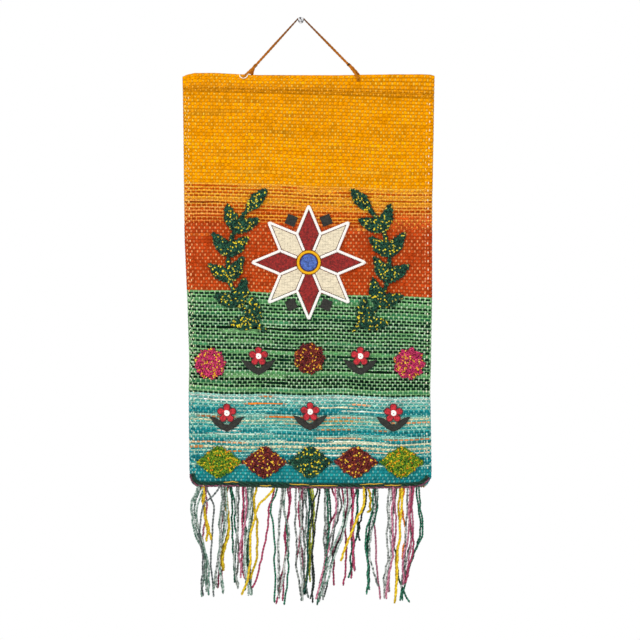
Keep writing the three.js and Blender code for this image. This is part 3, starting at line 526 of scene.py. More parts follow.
# The middle line of the hanging cord: place across, out from the wall, height
CORD_ROUTE = (
    (-87.6, 11.1, -86.6), (-85.2, 11.3, -84.4), (-81.4, 11.2, -80.9), (-76.0, 10.8, -75.8),
    (-68.9, 10.4, -69.0), (-58.0, 9.9, -57.1), (-45.0, 9.3, -42.7), (-32.0, 8.8, -28.3),
    (-19.0, 8.2, -13.9), (-9.0, 7.9, -2.9), (-5.2, 7.8, 1.3), (-2.7, 7.8, 3.1), (0.0, 7.8, 3.75),
    (2.6, 7.8, 3.15), (5.1, 7.8, 1.45), (9.0, 7.9, -2.6), (20.0, 8.2, -13.9), (33.0, 8.9, -27.2),
    (46.0, 9.7, -40.5), (59.0, 10.5, -53.9), (71.6, 11.4, -66.9), (77.4, 12.4, -74.2),
    (82.0, 13.4, -80.8), (85.0, 14.0, -85.6), (86.9, 14.1, -88.6),
)
TAIL_ROUTES = {
    "cord_tail_left": ((-69.2, 10.6, -68.2), (-71.2, 9.6, -73.0), (-72.6, 7.2, -77.6),
                       (-73.4, 4.4, -80.4), (-73.9, 3.3, -83.6), (-74.4, 3.25, -92.0)),
    "cord_tail_right": ((73.6, 11.2, -67.4), (78.8, 10.4, -72.4), (83.4, 8.6, -77.4),
                        (86.4, 6.4, -80.6), (87.8, 5.5, -84.0), (88.8, 5.5, -92.0)),
}
# The loose strand that fills the gap between each tail and the cord, in front of the tail
SPARE_ROUTES = (
    ((-70.0, 11.0, -69.6), (-73.0, 10.4, -74.4), (-75.6, 9.4, -78.6), (-76.6, 8.6, -81.2)),
    ((73.4, 11.8, -69.0), (78.8, 12.2, -75.2), (82.6, 12.4, -80.0), (84.2, 12.0, -83.0)),
)
CORD_PLY = 1.5
CORD_PLY_AT_PIN = 0.88
CORD_OFFSET = 0.50
CORD_LAY = 11.0
CORD_COLOURS = ((0, "6E4A2C"), (34, "94581C"), (100, "BC6E1C"), (125, "C47A24"))
TAIL_COLOUR = "B86C1E"
# The threads that bind its tails: place across, out from the wall, height, slope, length and colour
BINDINGS = ((-68.9, 10.4, -69.0, 48, 4.6, "B06A1C"), (72.0, 11.5, -67.2, -46, 1.2, "4A3010"))


def outward_route(rows):
    return np.array([(x, -out, z) for x, out, z in rows], float)


def make_hanging_cord():
    middle = smooth_curve(outward_route(CORD_ROUTE), 230)
    from_pin = np.clip(np.hypot(middle[:, 0], middle[:, 2]) / 55, 0, 1)
    ply = CORD_PLY_AT_PIN + (CORD_PLY - CORD_PLY_AT_PIN) * from_pin
    paths, radius = twisted(middle, OUTWARD, ply, CORD_OFFSET, CORD_LAY)
    paths = middle + (paths - middle) * (ply / CORD_PLY)[None, :, None]
    far = np.hypot(middle[:, 0], middle[:, 2])
    dye = np.column_stack([np.interp(far, [at for at, _ in CORD_COLOURS],
                                     [linear(code)[i] for _, code in CORD_COLOURS]) for i in range(3)])
    dye = dye[None] * np.array([1.0, 0.88])[:, None, None]
    cord = yarn_mesh("hanging_cord", [tubes(paths, OUTWARD, radius, radius, 7, dye)], 1)
    finished(cord, JUTE, "jute_cord", "cord")
    for node, route in TAIL_ROUTES.items():
        line = smooth_curve(outward_route(route), 40)
        tail_paths, tail_radius = twisted(line, OUTWARD, 1.3, 0.7, 14.0)
        tail = yarn_mesh(node + "_yarn", [tubes(tail_paths, OUTWARD, tail_radius, tail_radius, 6,
                                                linear(TAIL_COLOUR)[None])], 1)
        finished(tail, JUTE, "jute_cord", node)
    spare = []
    for route in SPARE_ROUTES:
        spare_paths, spare_radius = twisted(smooth_curve(outward_route(route), 30), OUTWARD, 1.1, 0.8, 12.0)
        spare.append(tubes(spare_paths, OUTWARD, spare_radius, spare_radius, 5, linear(TAIL_COLOUR)[None]))
    finished(yarn_mesh("cord_spare_strands", spare, 1), JUTE, "jute_cord")
    wraps = yarn_mesh("cord_bindings", [binding(*row) for row in BINDINGS], 1)
    finished(wraps, JUTE, "jute_cord")
    rims = yarn_mesh("hole_rims", [hole_rim(*row) for row in HOLE_RIMS], 1)
    finished(rims, COTTON, "jute_cord")
    path = (smooth_curve(outward_route(CORD_ROUTE), 100) * MM).tolist()


# The stitched rims of the two holes: place across, height, radius, from and to in degrees, colour
HOLE_RIMS = ((-86.6, -82.9, 5.9, 172, 372, "FFF4DC"), (87.2, -89.2, 3.0, 200, 340, "A0640C"))
RIM_FLAT = 0.78


def hole_rim(x, z, radius, start, end, code):
    """A few stitches of thread round the lower side of a hole, where the cord comes out of it."""
    angles = np.radians(np.linspace(start, end, 26))
    out = front_of(x, z) + 3.9
    path = np.column_stack([x + radius * np.cos(angles), np.full(26, -out),
                            z + radius * RIM_FLAT * np.sin(angles)])
    return tubes(path[None], OUTWARD, 0.85, 0.5, 5, linear(code)[None])


def binding(x, out, z, slope, long, code):
    """A thread wound a few turns round the cord, where its tail is tied to it."""
    angle = math.radians(slope)
    along = np.array([math.cos(angle), 0, math.sin(angle)])
    across = np.array([-math.sin(angle), 0, math.cos(angle)])
    turns = np.linspace(0, 2 * np.pi * 4.5, 70)
    centre = np.array([x, -out, z], float)
    path = (centre + np.outer((turns / turns[-1] - 0.5) * long, along)
            + 2.2 * (np.outer(np.cos(turns), across) + np.outer(np.sin(turns), OUTWARD)))
    return tubes(path[None], along, 0.5, 0.5, 5, linear(code)[None])


make_camera()
make_hanging_cord()


# The weave. Each kind of row, by its first row from the top: the colours of its weft, of the warp that
# floats over it and of the second weft in the same shed, with how that one is laid
ROWS = (
    # Rows 3, 4 and 5 are a darker gold: painted shade under the heading's fold. The dark fine second wefts of rows 4
    # and 5 are the seam's two stitched lines, darkened further as painted shade of its groove.
    (-9, "F49B00", "FFCB4E", None, None), (3, "EE9706", "FFC854", None, None),
    (4, "E0900A", "FFC04C", "CE860C", "fine"), (5, "DE8E0A", "FFC04C", "C07C0A", "fine"),
    (6, "F49B00", "FFCB4E", None, None), (33, "FFAA30", "FFC660", "BE5008", "thin"),
    (37, "FFAA2A", "FFC65C", "DC8A20", "thin"), (38, "FFAA32", "FFC660", "BC4E08", "thin"),
    (39, "FCA636", "FFC060", "B44608", "dash"), (40, "FFAC3A", "FFC264", "BA4808", "dash"),
    (41, "F68C34", "FFAC58", "AA3C08", "dash"), (42, "FFA632", "FFB858", "B2420A", "thin"),
    (43, "FC9E34", "FFB450", "AA3C08", "dash"), (44, "F68C34", "FFAA56", "B03E0E", "dash"),
    (45, "BC4416", "FFA468", None, None),
    (65, "79B874", "D6F0CC", "0D2B1E", "dash"), (67, "7FC078", "D6F0CC", "4E9058", "dash"),
    (68, "74AE70", "D6F0CC", "0D2B1E", "dash"), (71, "7FC078", "D6F0CC", "1E5A3C", "dash"),
    (72, "74AE70", "D6F0CC", "0D2B1E", "thick"), (74, "8CBE88", "DEF4D6", "123626", "dash"),
    (75, "86BE7E", "DEF4D6", "081A12", "thick"), (76, "74AE70", "D6F0CC", "0D2B1E", "dash"),
    (80, "86BC84", "D6F0CC", "123626", "dash"), (81, "74AE70", "DEF4D6", "0A2018", "thick"),
    (82, "7FBA76", "D6F0CC", "579A60", "dash"), (83, "74AE70", "D6F0CC", "0D2B1E", "thick"),
    (85, "7FB878", "D6F0CC", "0D2B1E", "dash"), (86, "8CBE88", "DEF4D6", "14402C", "dash"),
    (87, "74AE70", "DEF4D6", "081A12", "thick"), (88, "86C07E", "D6F0CC", "4E9058", "dash"),
    (89, "74AE70", "D6F0CC", "0A2419", "dash"), (90, "7FBA78", "DEF4D6", "081A12", "thick"),
    (91, "74AE70", "D6F0CC", "0A2419", "thick"), (93, "86C07E", "D6F0CC", "3E8458", "dash"),
    (94, "74AE70", "D6F0CC", "0D2B1E", "dash"),
    (95, "8CCBBC", "E0F0E0", "C2D2C4", "wool"), (96, "5AACA4", "DFF0E4", "B4D8C8", "wool"),
    (97, "48A49C", "D5EEE0", "9CCCB8", "wool"), (98, "2A9696", "B4E2D8", "7CBCAC", "wool"),
    (99, "1C8F94", "94D8D0", "187A80", "wool"), (100, "1F9294", "9ADCD2", "12646A", "wool"),
    (101, "9CCDB8", "D8ECD8", "6CB0A2", "wool"), (102, "5CB0A4", "CDEAD8", "C4D0AA", "wool"),
    (103, "48A69E", "CDEAD8", "A4C8B0", "wool"), (104, "249494", "9ADCD2", "8CC4B4", "wool"),
    (105, "2C9896", "9ADCD2", "17767C", "wool"), (106, "1F9294", "A8E0D8", "17767C", "wool"),
    (107, "8CCAB8", "CDEAD8", "50A498", "wool"), (108, "209294", "B8E4D8", "17767C", "wool"),
    (109, "DADBB6", "F0F0DC", "2C8C8E", "wool"), (110, "3EA19B", "CDEAD8", "D8D4AC", "thick"),
    (111, "2C9896", "B8E4D8", "A4C8B0", "wool"), (112, "1C888E", "8AD6CE", "98CEC0", "wool"),
    (113, "1C888E", "8AD6CE", "14686E", "wool"), (115, "209294", "A8E0D8", "B0D4C0", "wool"),
    (116, "1C888E", "8AD6CE", None, None),
)
# How a second weft is laid: half widths of the first and the second, and how far the second is off the
# cloth's middle over a warp, between two and under one
LAYS = {
    None: (2.75, 0.0, (0.0, 0.0, 0.0)), "dash": (1.45, 1.3, (1.0, 0.9, -0.8)),
    "thick": (1.15, 1.7, (1.05, 0.95, -0.8)), "fine": (2.1, 0.65, (0.95, 0.9, 0.95)),
    "thin": (1.75, 1.0, (1.0, 0.9, -0.8)), "wool": (1.6, 1.15, (0.9, 0.8, -0.5)),
}
# How mottled a weft's dye is along its way, from its first row on
MOTTLE = ((0, 0.26), (44, 0.26), (45, 0.32), (64, 0.32), (65, 0.3), (94, 0.3), (95, 0.36), (122, 0.36))
# Stretches of a row where another yarn was joined in: row, from and to across, colour
STRETCHES = (
    (8, 40, 118, "E0900C"), (9, 180, 262, "E2920C"), (11, 0, 96, "DA9010"), (12, 8, 66, "D68E10"),
    (12, 150, 215, "E08E0E"), (17, 92, 170, "D68C0C"), (21, 210, 300, "E2920C"), (24, 30, 90, "DC8E0A"),
    (28, 250, 330, "F2A820"), (29, 60, 150, "F2A820"), (38, 90, 380, "F2A81E"), (45, 262, 306, "F0983C"),
    (33, 286, 380, "FFB234"), (35, 286, 380, "FFB238"), (36, 300, 380, "FFB036"), (38, 0, 50, "FFAA4A"),
    (38, 296, 380, "FFA83C"), (39, 296, 380, "FFA240"), (40, 296, 380, "FF9C44"),
    (40, 0, 70, "FFA656"), (41, 0, 50, "F6964A"), (42, 0, 60, "FAA04E"), (43, 0, 90, "F6984A"),
    (44, 0, 70, "F08A42"), (41, 296, 380, "F4863A"), (42, 296, 380, "EE823C"), (43, 290, 380, "DC6830"),
    (44, 296, 380, "D05826"),
    (48, 0, 40, "D05E1C"),
    (50, 300, 345, "D05E1C"), (67, 190, 300, "5FA068"), (75, 0, 60, "5FA068"), (82, 300, 380, "5FA068"),
    (88, 0, 100, "74A884"), (93, 120, 250, "9CCBA4"), (100, 200, 380, "17868C"), (105, 203, 258, "B88A58"),
    (105, 293, 313, "B07A50"), (107, 60, 200, "5AB0A4"), (109, 4, 90, "DCA070"), (109, 90, 140, "B8D4BC"),
    (118, 0, 380, "209294"),
)
SECOND_STRETCHES = (
    (4, 0, 50, "DA8E0E"), (4, 205, 380, "D68C0E"), (5, 0, 30, "D88C0E"), (33, 84, 150, "E8901C"),
    (33, 150, 176, "C8500F"), (33, 176, 380, "F09C1C"), (34, 170, 228, "E8901C"), (35, 290, 380, "F09C20"),
    (36, 60, 230, "D06A14"), (36, 230, 300, "E8921C"), (37, 170, 232, "AA4A10"),
    (38, 0, 60, "8C3408"), (38, 95, 240, "EE8E1C"), (38, 292, 325, "E08018"), (39, 172, 300, "E88C1C"),
    (40, 296, 380, "C04E14"), (41, 290, 380, "CA5016"), (42, 290, 380, "CC521A"), (43, 290, 380, "CC521E"),
    (44, 110, 250, "C24410"), (44, 290, 380, "C8501C"),
    (66, 200, 290, "3E8458"), (69, 30, 110, "3E8458"), (70, 260, 380, "2C6A44"), (73, 90, 160, "3E8458"),
    (76, 52, 106, "7FBA78"), (76, 300, 380, "1E4A34"), (78, 0, 52, "2C6A44"), (79, 60, 130, "6CAA68"),
    (79, 210, 300, "3E8458"), (80, 0, 30, "3E8458"), (82, 0, 60, "123626"), (84, 200, 290, "1E4A34"),
    (86, 150, 230, "1E4A34"), (89, 55, 150, "7FBA78"), (89, 160, 290, "1E4A34"), (91, 0, 70, "2C6A44"),
    (95, 112, 132, "C8783C"), (97, 88, 152, "F0842E"), (97, 254, 284, "E0A070"), (98, 185, 262, "E0E0BC"),
    (100, 230, 380, "4CA098"), (101, 14, 74, "BC8050"), (101, 122, 198, "EE8438"), (101, 198, 274, "F0A070"),
    (101, 298, 380, "E8DCB0"), (102, 18, 92, "E2DEB4"), (102, 188, 262, "C09858"), (102, 302, 380, "E89C68"),
    (103, 150, 260, "C8C49C"), (104, 46, 78, "F2F4E0"), (105, 46, 78, "EEF0DC"), (107, 198, 272, "E8B88C"),
    (107, 308, 380, "D89060"), (110, 0, 22, "D8904C"), (110, 184, 284, "F0D4A8"), (111, 36, 84, "DA8638"),
    (111, 284, 380, "E8CCAA"), (96, 20, 90, "E6F0DC"), (99, 60, 140, "A8D8C8"), (99, 240, 330, "D0E4D0"),
    (100, 40, 120, "8CCABC"), (105, 120, 200, "8CC8BC"), (106, 30, 130, "C8E0CC"), (106, 250, 340, "9CD0C0"),
    (108, 60, 150, "BCDCC8"), (108, 220, 310, "E0E8C8"), (112, 150, 260, "E4ECD4"), (113, 20, 120, "8CC8BC"),
)
# Where a second weft floats over the warps for a while: row, from and to across
FLOATS = (
    (33, 18, 76), (34, 92, 128), (34, 236, 290), (36, 100, 190), (36, 300, 352), (38, 8, 50),
    (40, 60, 138), (41, 286, 340), (42, 16, 84), (42, 150, 206), (43, 240, 300),
    (44, 70, 130), (72, 240, 300), (75, 50, 205), (81, 118, 205), (83, 236, 290),
    (84, 138, 160), (87, 84, 128), (87, 262, 320), (91, 122, 150), (101, 130, 190), (110, 196, 270),
    (96, 26, 80), (97, 96, 146), (98, 196, 250), (99, 250, 318), (102, 26, 84), (103, 160, 230), (104, 46, 78),
    (105, 130, 180), (106, 40, 100), (107, 206, 262), (108, 228, 300), (111, 292, 350), (112, 170, 240),
)
# How far a colour fades into the next at the end of a stretch
FADE = 9.0
WEFT_PITCH = 5.1
WEFT_FIRST = 2.5
WEFT_ROWS = 122
HEADING_ROWS = 6
WARPS = 93
WARP_PITCH = CLOTH_WIDE / WARPS
# Half of how thick a weft and a second one are, and half sizes of a warp
WEFT_HIGH = 0.8
SECOND_HIGH = 0.65
WARP_HALF = (1.12, 0.42)
WARP_NARROW = 0.78
ROW_HALF = 2.7
WEFT_SWING = 0.36
WARP_SWING = 0.86
HEM_SAMPLES = (-7.6, -5.6, -3.6, -1.9, -0.9, 0.0, 0.9)
EDGE_SAMPLES = (-1.4, -0.7, 0.0, 0.9)
# A weft's section: how many sides, and which of its corners lie beside the next weft
WEFT_SIDES = 5
WEFT_LOW_SIDES = (1, 3)
# How dark the dips between two wefts are painted, as painted shade, and how much that changes along them in long
# streaks and short
PAINTED_DIP_SHADE = (0.24, 0.5, 0.24)
# How dark the sheet between the yarns is painted, as painted shade in the weave's gaps
IN_SHADE = 0.62
# How much of a second weft's colour a warp takes on over it, from its first row on
TICK_SHARE = ((0, 0.5), (44, 0.5), (45, 0.25), (122, 0.25))
# How dark a weft is painted where it turns round the cloth's side edge: painted shade
EDGE_PAINTED_SHADE = 0.55


def row_kind(row):
    return [kind for kind in ROWS if kind[0] <= row][-1]


def row_at(down):
    return round((abs(down) - WEFT_FIRST) / WEFT_PITCH)


def sway(across, down):
    """How far the rows wander up and down together, as they were beaten in by hand."""
    held = np.clip((np.abs(down) - 34) / 60, 0, 1) * np.clip((CLOTH_DROP - down) / 50, 0, 1)
    growing = 0.5 + np.abs(down) / 500
    return held * growing * (0.6 * np.sin(across / 47 + down / 95 + 0.9) + 0.45 * np.sin(across / 19 - down / 60))


def woven(across, down, lift):
    """A place in the weave, lifted off the cloth's middle, and the cloth's normal there."""
    return on_cloth(across, down + sway(across, down), lift)


def over_under(steps, first):
    """1 where a yarn is over, -1 where it is under and 0 between, at half steps from the first crossing."""
    k = np.arange(steps)
    sign = np.where(((k // 2) + first) % 2 == 0, 1.0, -1.0)
    return np.where(k % 2 == 0, sign, 0.0)


def uneven(random, colours, yarn_share, run_share, knots):
    """The colours of yarns, a little lighter and darker from one to the next and along each."""
    count, steps = colours.shape[:2]
    tone = 1 + yarn_share * random.uniform(-1, 1, (count, 1, 1))
    run = 1 + run_share * drift(random, count, steps, knots)[..., None]
    return np.clip(colours * tone * run, 0, 1)


def row_colours(rows, across, column, stretches):
    """The colour of each row at each place across, with the stretches of other yarn faded in."""
    colours = np.array([np.tile(linear(row_kind(row)[column]), (len(across), 1)) for row in rows])
    for row, start, end, code in stretches:
        if row in rows:
            share = np.clip(np.minimum(across - start, end - across) / FADE + 0.5, 0, 1)[:, None]
            here = rows.index(row)
            colours[here] = colours[here] * (1 - share) + linear(code) * share
    return colours


def weft_group(random, rows, downs, samples):
    """Wefts across the whole width, round the turned hems at both sides."""
    inner = WARP_PITCH * (np.arange(2 * WARPS - 1) + 1) / 2
    across = np.concatenate([samples, inner, CLOTH_WIDE - np.array(samples[::-1])])
    edge, count, steps = len(samples), len(rows), len(across)
    swing = np.zeros((count, steps))
    for i, row in enumerate(rows):
        swing[i, edge:edge + len(inner)] = over_under(len(inner), row)
    half = np.array([LAYS[row_kind(row)[4]][0] for row in rows])[:, None]
    down = np.asarray(downs)[:, None] - (ROW_HALF - half) * (half < ROW_HALF - 0.1)
    down = down + 0.35 * drift(random, count, steps, 30) * (np.abs(down) > 6)
    places, normals = woven(across[None], down, swing * WEFT_SWING)
    slub = 1 + 0.06 * drift(random, count, steps, 40)
    mottle = look_up(MOTTLE, rows)[:, None, None]
    dye = uneven(random, row_colours(rows, across, 1, STRETCHES), 0.085, 0.12, 22)
    dye = uneven(random, dye, 0.0, mottle, 170)
    # Painted shade where a weft dips under a warp and between crossings, a faint painted highlight where it rises
    # over
    dye = dye * (1 + np.select([swing > 0, swing < 0], [0.05, -0.14], -0.04)[..., None])
    # Painted shade where a weft turns round the side edge of the cloth
    dye = dye * np.interp(np.minimum(across, CLOTH_WIDE - across), (-0.5, 2.5), (EDGE_PAINTED_SHADE, 1))[:, None]
    ring = np.repeat(dye[:, :, None], WEFT_SIDES, axis=2)
    # The corners beside the next weft are darkened: painted shade in the dip between two wefts
    for low_side in WEFT_LOW_SIDES:
        dark = PAINTED_DIP_SHADE[0] + PAINTED_DIP_SHADE[1] * drift(random, count, steps, 13)
        dark = dark + PAINTED_DIP_SHADE[2] * drift(random, count, steps, 170)
        ring[:, :, low_side] *= 1 - np.clip(dark, 0, 0.7)[..., None]
    return tubes(places, normals, half * slub, WEFT_HIGH * slub, WEFT_SIDES, np.clip(ring, 0, 1))


def make_wefts():
    random = np.random.default_rng(11)
    downs = (WEFT_FIRST + WEFT_PITCH * np.arange(WEFT_ROWS)).tolist()
    behind = (-WEFT_FIRST - WEFT_PITCH * np.arange(HEADING_ROWS)).tolist()
    heading, half = 7, WEFT_ROWS // 2
    upper = [weft_group(random, [1, 0] * (HEADING_ROWS // 2), behind, EDGE_SAMPLES),
             weft_group(random, list(range(heading)), downs[:heading], EDGE_SAMPLES),
             weft_group(random, list(range(heading, half)), downs[heading:half], HEM_SAMPLES)]
    lower = [weft_group(random, list(range(half, WEFT_ROWS)), downs[half:], HEM_SAMPLES)]
    return [finished(yarn_mesh("weft_yarns_upper", upper, 1), JUTE, "woven_jute"),
            finished(yarn_mesh("weft_yarns_lower", lower, 1), JUTE, "woven_jute")]


def make_second_wefts():
    """The second wefts, thick and thin along their way, that dive under every other warp."""
    random = np.random.default_rng(12)
    across = WARP_PITCH * (np.arange(2 * WARPS - 1) + 1) / 2
    rows = [row for row in range(WEFT_ROWS) if row_kind(row)[3] is not None]
    lays = [LAYS[row_kind(row)[4]] for row in rows]
    count, steps = len(rows), len(across)
    lifts = np.zeros((count, steps))
    for i, (_, _, (over, between, under)) in enumerate(lays):
        swing = over_under(steps, rows[i])
        lifts[i] = np.select([swing > 0, swing < 0], [over, under], between)
        for row, start, end in FLOATS:
            if row == rows[i]:
                floating = (across > start) & (across < end) & (swing < 0)
                lifts[i] = np.where(floating, over + 0.2, lifts[i])
    half = np.array([lay[1] for lay in lays])[:, None]
    slub = 1 + 0.28 * drift(random, count, steps, 24) + 0.15 * drift(random, count, steps, 90)
    down = np.array([WEFT_FIRST + WEFT_PITCH * row for row in rows])[:, None] + ROW_HALF - half
    places, normals = woven(across[None], down + 0.4 * drift(random, count, steps, 40), lifts)
    mottle = look_up(MOTTLE, rows)[:, None, None]
    dye = uneven(random, row_colours(rows, across, 3, SECOND_STRETCHES), 0.1, mottle + 0.1, 150)
    group = tubes(places, normals, half * slub, SECOND_HIGH * slub, 4, dye)
    return finished(yarn_mesh("second_weft_yarns", [group], 1), JUTE, "woven_jute")


def rubbed(across, down):
    """Long low patches where the floats are rubbed down to the wefts' colour, from 0 to 1."""
    return np.clip(np.sin(across / 41 + down / 9.0) * np.sin(across / 19 - down / 23 + 1.0), 0, 1)


def warp_group(random, across, crossings, down, first_warp):
    """Warps down the cloth, each one step on from the last in its crossings. Over a first weft they show as
    a pale float, then narrow and darken between two rows or beside a second weft: between two rows the
    darkening, the first weft's dye at half strength, is painted shade of the dip, and beside a second weft
    the warp takes on that weft's colour. crossings gives, for each place down, its row and whether it is
    past that row's first weft, or None where a warp only turns."""
    count, steps = len(across), len(down)
    lift, base, wide = np.zeros((count, steps)), np.zeros((count, steps, 3)), np.ones((count, steps))
    for k, crossing in enumerate(crossings):
        row, past = crossing or (0, True)
        _, first, pale, second, _ = row_kind(row)
        over = np.where((row + first_warp + np.arange(count)) % 2 == 0, -1.0, 1.0)
        worn = 0.8 * random.uniform(0, 1, (count, 1)) ** 2
        worn = np.clip(worn + 0.55 * rubbed(np.asarray(across), down[k])[:, None], 0, 1)
        if not past:
            lift[:, k] = over * WARP_SWING
            base[:, k] = linear(pale) * (1 - worn) + linear(first) * worn
            wide[:, k] = random.uniform(0.8, 1.3, count)
        elif second is None:
            lift[:, k] = -0.12
            # Between two rows the warp takes the first weft's dye at half strength: painted shade in the dip
            base[:, k] = linear(first) * 0.55
        else:
            lift[:, k] = np.where(over > 0, 0.95, -0.8)
            own = np.minimum(look_up(TICK_SHARE, [row])[0] * random.uniform(0.5, 1.6, (count, 1)), 0.68)
            base[:, k] = linear(second) * own + linear(first) * (0.68 - own) + linear(pale) * 0.14
            wide[:, k] = WARP_NARROW
    sideways = 0.45 * drift(random, count, steps, 60)
    places, normals = woven(np.asarray(across)[:, None] + sideways, down[None], lift)
    slub = (1 + 0.12 * drift(random, count, steps, 90)) * wide
    dye = uneven(random, base, 0.05, 0.08, 90)
    return tubes(places, normals, WARP_HALF[0] * slub, WARP_HALF[1] * slub, 4, dye)


def warp_places(rows):
    """Two places down each row: over its first weft, and over its second or between it and the next."""
    crossings, down = [], []
    for row in rows:
        half, second, _ = LAYS[row_kind(row)[4]]
        middle = WEFT_FIRST + WEFT_PITCH * row
        crossings += [(row, False), (row, True)]
        if second:
            down += [middle - ROW_HALF + half, middle + ROW_HALF - second]
        else:
            down += [middle, middle + WEFT_PITCH / 2]
    return crossings, down


def make_warps():
    random = np.random.default_rng(13)
    behind = -WEFT_FIRST - WEFT_PITCH * np.arange(HEADING_ROWS * 2 - 1)[::-1] / 2
    behind_crossings = [(k // 2 % 2, k % 2 == 1) for k in range(len(behind))]
    crossings, front = warp_places(range(WEFT_ROWS))
    down = np.concatenate([behind, [-1.2, 0.0, 1.2], front[:-1], [CLOTH_DROP]])
    crossings = [*behind_crossings, None, None, None, *crossings[:-1], None]
    across = WARP_PITCH * (np.arange(WARPS) + 0.5)
    middle = WARPS // 2
    pieces = []
    for name, part, first in (("warp_yarns_left", across[:middle], 0),
                              ("warp_yarns_right", across[middle:], middle)):
        group = warp_group(random, part, crossings, down, first)
        pieces.append(finished(yarn_mesh(name, [group], 1), JUTE, "woven_jute"))
    back_crossings, back_down = warp_places(range(HEADING_ROWS + 1, WEFT_ROWS - 1))
    turned_in = warp_group(random, [-6.2, -2.6, CLOTH_WIDE + 2.6, CLOTH_WIDE + 6.2], back_crossings,
                           np.array(back_down), 1)
    pieces.append(finished(yarn_mesh("warp_yarns_turned", [turned_in], 1), JUTE, "woven_jute"))
    return pieces


def ground_part(across, down, half):
    """A closed thin body between the yarns, as a grid of points, faces and colours. Its colours are the wefts' dye
    darkened by IN_SHADE: painted shade in the gaps.
    """
    columns, rows = len(across), len(down)
    grid_across, grid_down = np.meshgrid(across, down)
    layers = [woven(grid_across, grid_down, np.full(grid_across.shape, lift))[0] for lift in (half, -half)]
    points = np.concatenate([layer.reshape(-1, 3) for layer in layers])
    index = np.arange(columns * rows).reshape(rows, columns)
    a, b, c, d = index[:-1, :-1], index[1:, :-1], index[1:, 1:], index[:-1, 1:]
    front = np.stack([a, b, c, d], axis=-1).reshape(-1, 4)
    under = front[:, ::-1] + columns * rows
    rim = np.concatenate([index[0, ::-1], index[1:, 0], index[-1, 1:], index[-2:0:-1, -1]])
    after = np.roll(rim, -1)
    walls = np.stack([after, rim, rim + columns * rows, after + columns * rows], axis=-1)
    # The wefts' dye darkened by IN_SHADE: painted shade in the gaps between the yarns
    tones = np.array([linear(row_kind(row_at(at))[1]) * IN_SHADE for at in grid_down.ravel()])
    return points, np.concatenate([front, under, walls]), np.concatenate([tones, tones])


def make_ground():
    half = 0.3
    down = np.concatenate([np.arange(-29, -2, 4.5), [-1.5, 0, 1.5], np.arange(5, CLOTH_DROP, 7.0), [CLOTH_DROP - 1]])
    hem_down = down[down > HEM_START]
    parts = [ground_part(np.linspace(0.4, CLOTH_WIDE - 0.4, 52), down, half),
             ground_part(np.array([-7.6, -4, -2, -1, -0.1]), hem_down, half),
             ground_part(CLOTH_WIDE + np.array([0.1, 1, 2, 4, 7.6]), hem_down, half)]
    points, faces, tones, first = [], [], [], 0
    for part_points, part_faces, part_tones in parts:
        points.append(part_points)
        faces += (part_faces + first).tolist()
        tones.append(part_tones)
        first += len(part_points)
    mesh = solid_mesh("jute_ground_painted_shade", np.vstack(points), faces, np.vstack(tones))
    layer = mesh.uv_layers.new(name="Yarn")
    corners = np.vstack(points)[[v for face in faces for v in face]]
    layer.data.foreach_set("uv", corners[:, [0, 2]].astype(np.float32).ravel())
    return finished(shown("jute_ground_painted_shade", mesh), SHADED_GROUND, "woven_jute", "cloth")


# Stitches that hold the hems: distance across, pitch, length, half width, and their own colour, with how
# much of it shows beside the band's
HEM_STITCHES = (
    {"across": 7.8, "pitch": 9.9, "long": 3.2, "half": 0.9, "code": "FFE4A8", "own": 0.4},
    {"across": 3.8, "pitch": 6.8, "long": 3.0, "half": 0.8, "code": "FFD8A8", "own": 0.15},
    {"across": CLOTH_WIDE - 6.4, "pitch": 13.2, "long": 3.0, "half": 0.9, "code": "FFEED4", "own": 0.7},
    {"across": CLOTH_WIDE - 10.4, "pitch": 9.9, "long": 2.6, "half": 0.7, "code": "FFF4E2", "own": 0.15},
)
STITCH_ARCH = np.array([0.2, 1.35, 1.75, 1.35, 0.2])


def make_hem_stitches():
    random = np.random.default_rng(14)
    groups = []
    for row in HEM_STITCHES:
        starts = np.arange(HEM_START + 4, CLOTH_DROP - 22, row["pitch"])
        starts = starts + random.uniform(-0.8, 0.8, len(starts))
        long = row["long"] * random.uniform(0.75, 1.15, len(starts))
        down = starts[:, None] + long[:, None] * np.linspace(0, 1, 5)
        across = row["across"] + random.uniform(-0.5, 0.5, (len(starts), 1)) + np.zeros(5)
        places, normals = woven(across, down, np.broadcast_to(STITCH_ARCH, down.shape))
        tones = [linear(row_kind(row_at(at))[2]) * (1 - row["own"]) + linear(row["code"]) * row["own"]
                 for at in starts]
        dye = uneven(random, np.repeat(np.array(tones)[:, None], 5, axis=1), 0.08, 0.04, 3)
        groups.append(tubes(places, normals, row["half"], row["half"] * 0.8, 5, dye))
    piece = yarn_mesh("hem_stitches", groups)
    return finished(piece, COTTON, "woven_jute")


# The yarns laid along the lower edge
HEM_ROUTE = (
    (-164.6, -685.5), (-163.0, -693.5), (-157.0, -699.6), (-146.0, -701.2), (-120.0, -701.0),
    (-92.0, -701.0), (-60.0, -701.8), (-30.0, -702.6), (0.0, -703.2), (30.0, -703.6), (60.0, -703.9),
    (90.0, -704.0), (120.0, -703.8), (150.0, -703.4), (174.0, -702.2), (186.0, -697.6), (192.6, -690.0),
)
# Each laid yarn: how far above the middle of the band it lies, its colour, and the colour of its second ply
LAID_YARNS = ((2.7, "1D4D3A", "16392C"), (0.1, "1A2E27", "274A3C"), (-2.6, "8A5064", "5C3A48"))
PLAIN_STRETCH = (-94.0, -18.0)
# Long yellow stitches over the band: from and to, across, and how far above its middle
COUCHING = ((-117, -94, 3.4), (-18, 13, 1.8), (13, 56, 0.2), (89, 126, 3.0), (126, 152, 1.2), (-62, -44, -1.0))
HEM_BAND_OUT = SIDE_HEM_EXTRA + SEAT_GAP + 1.75


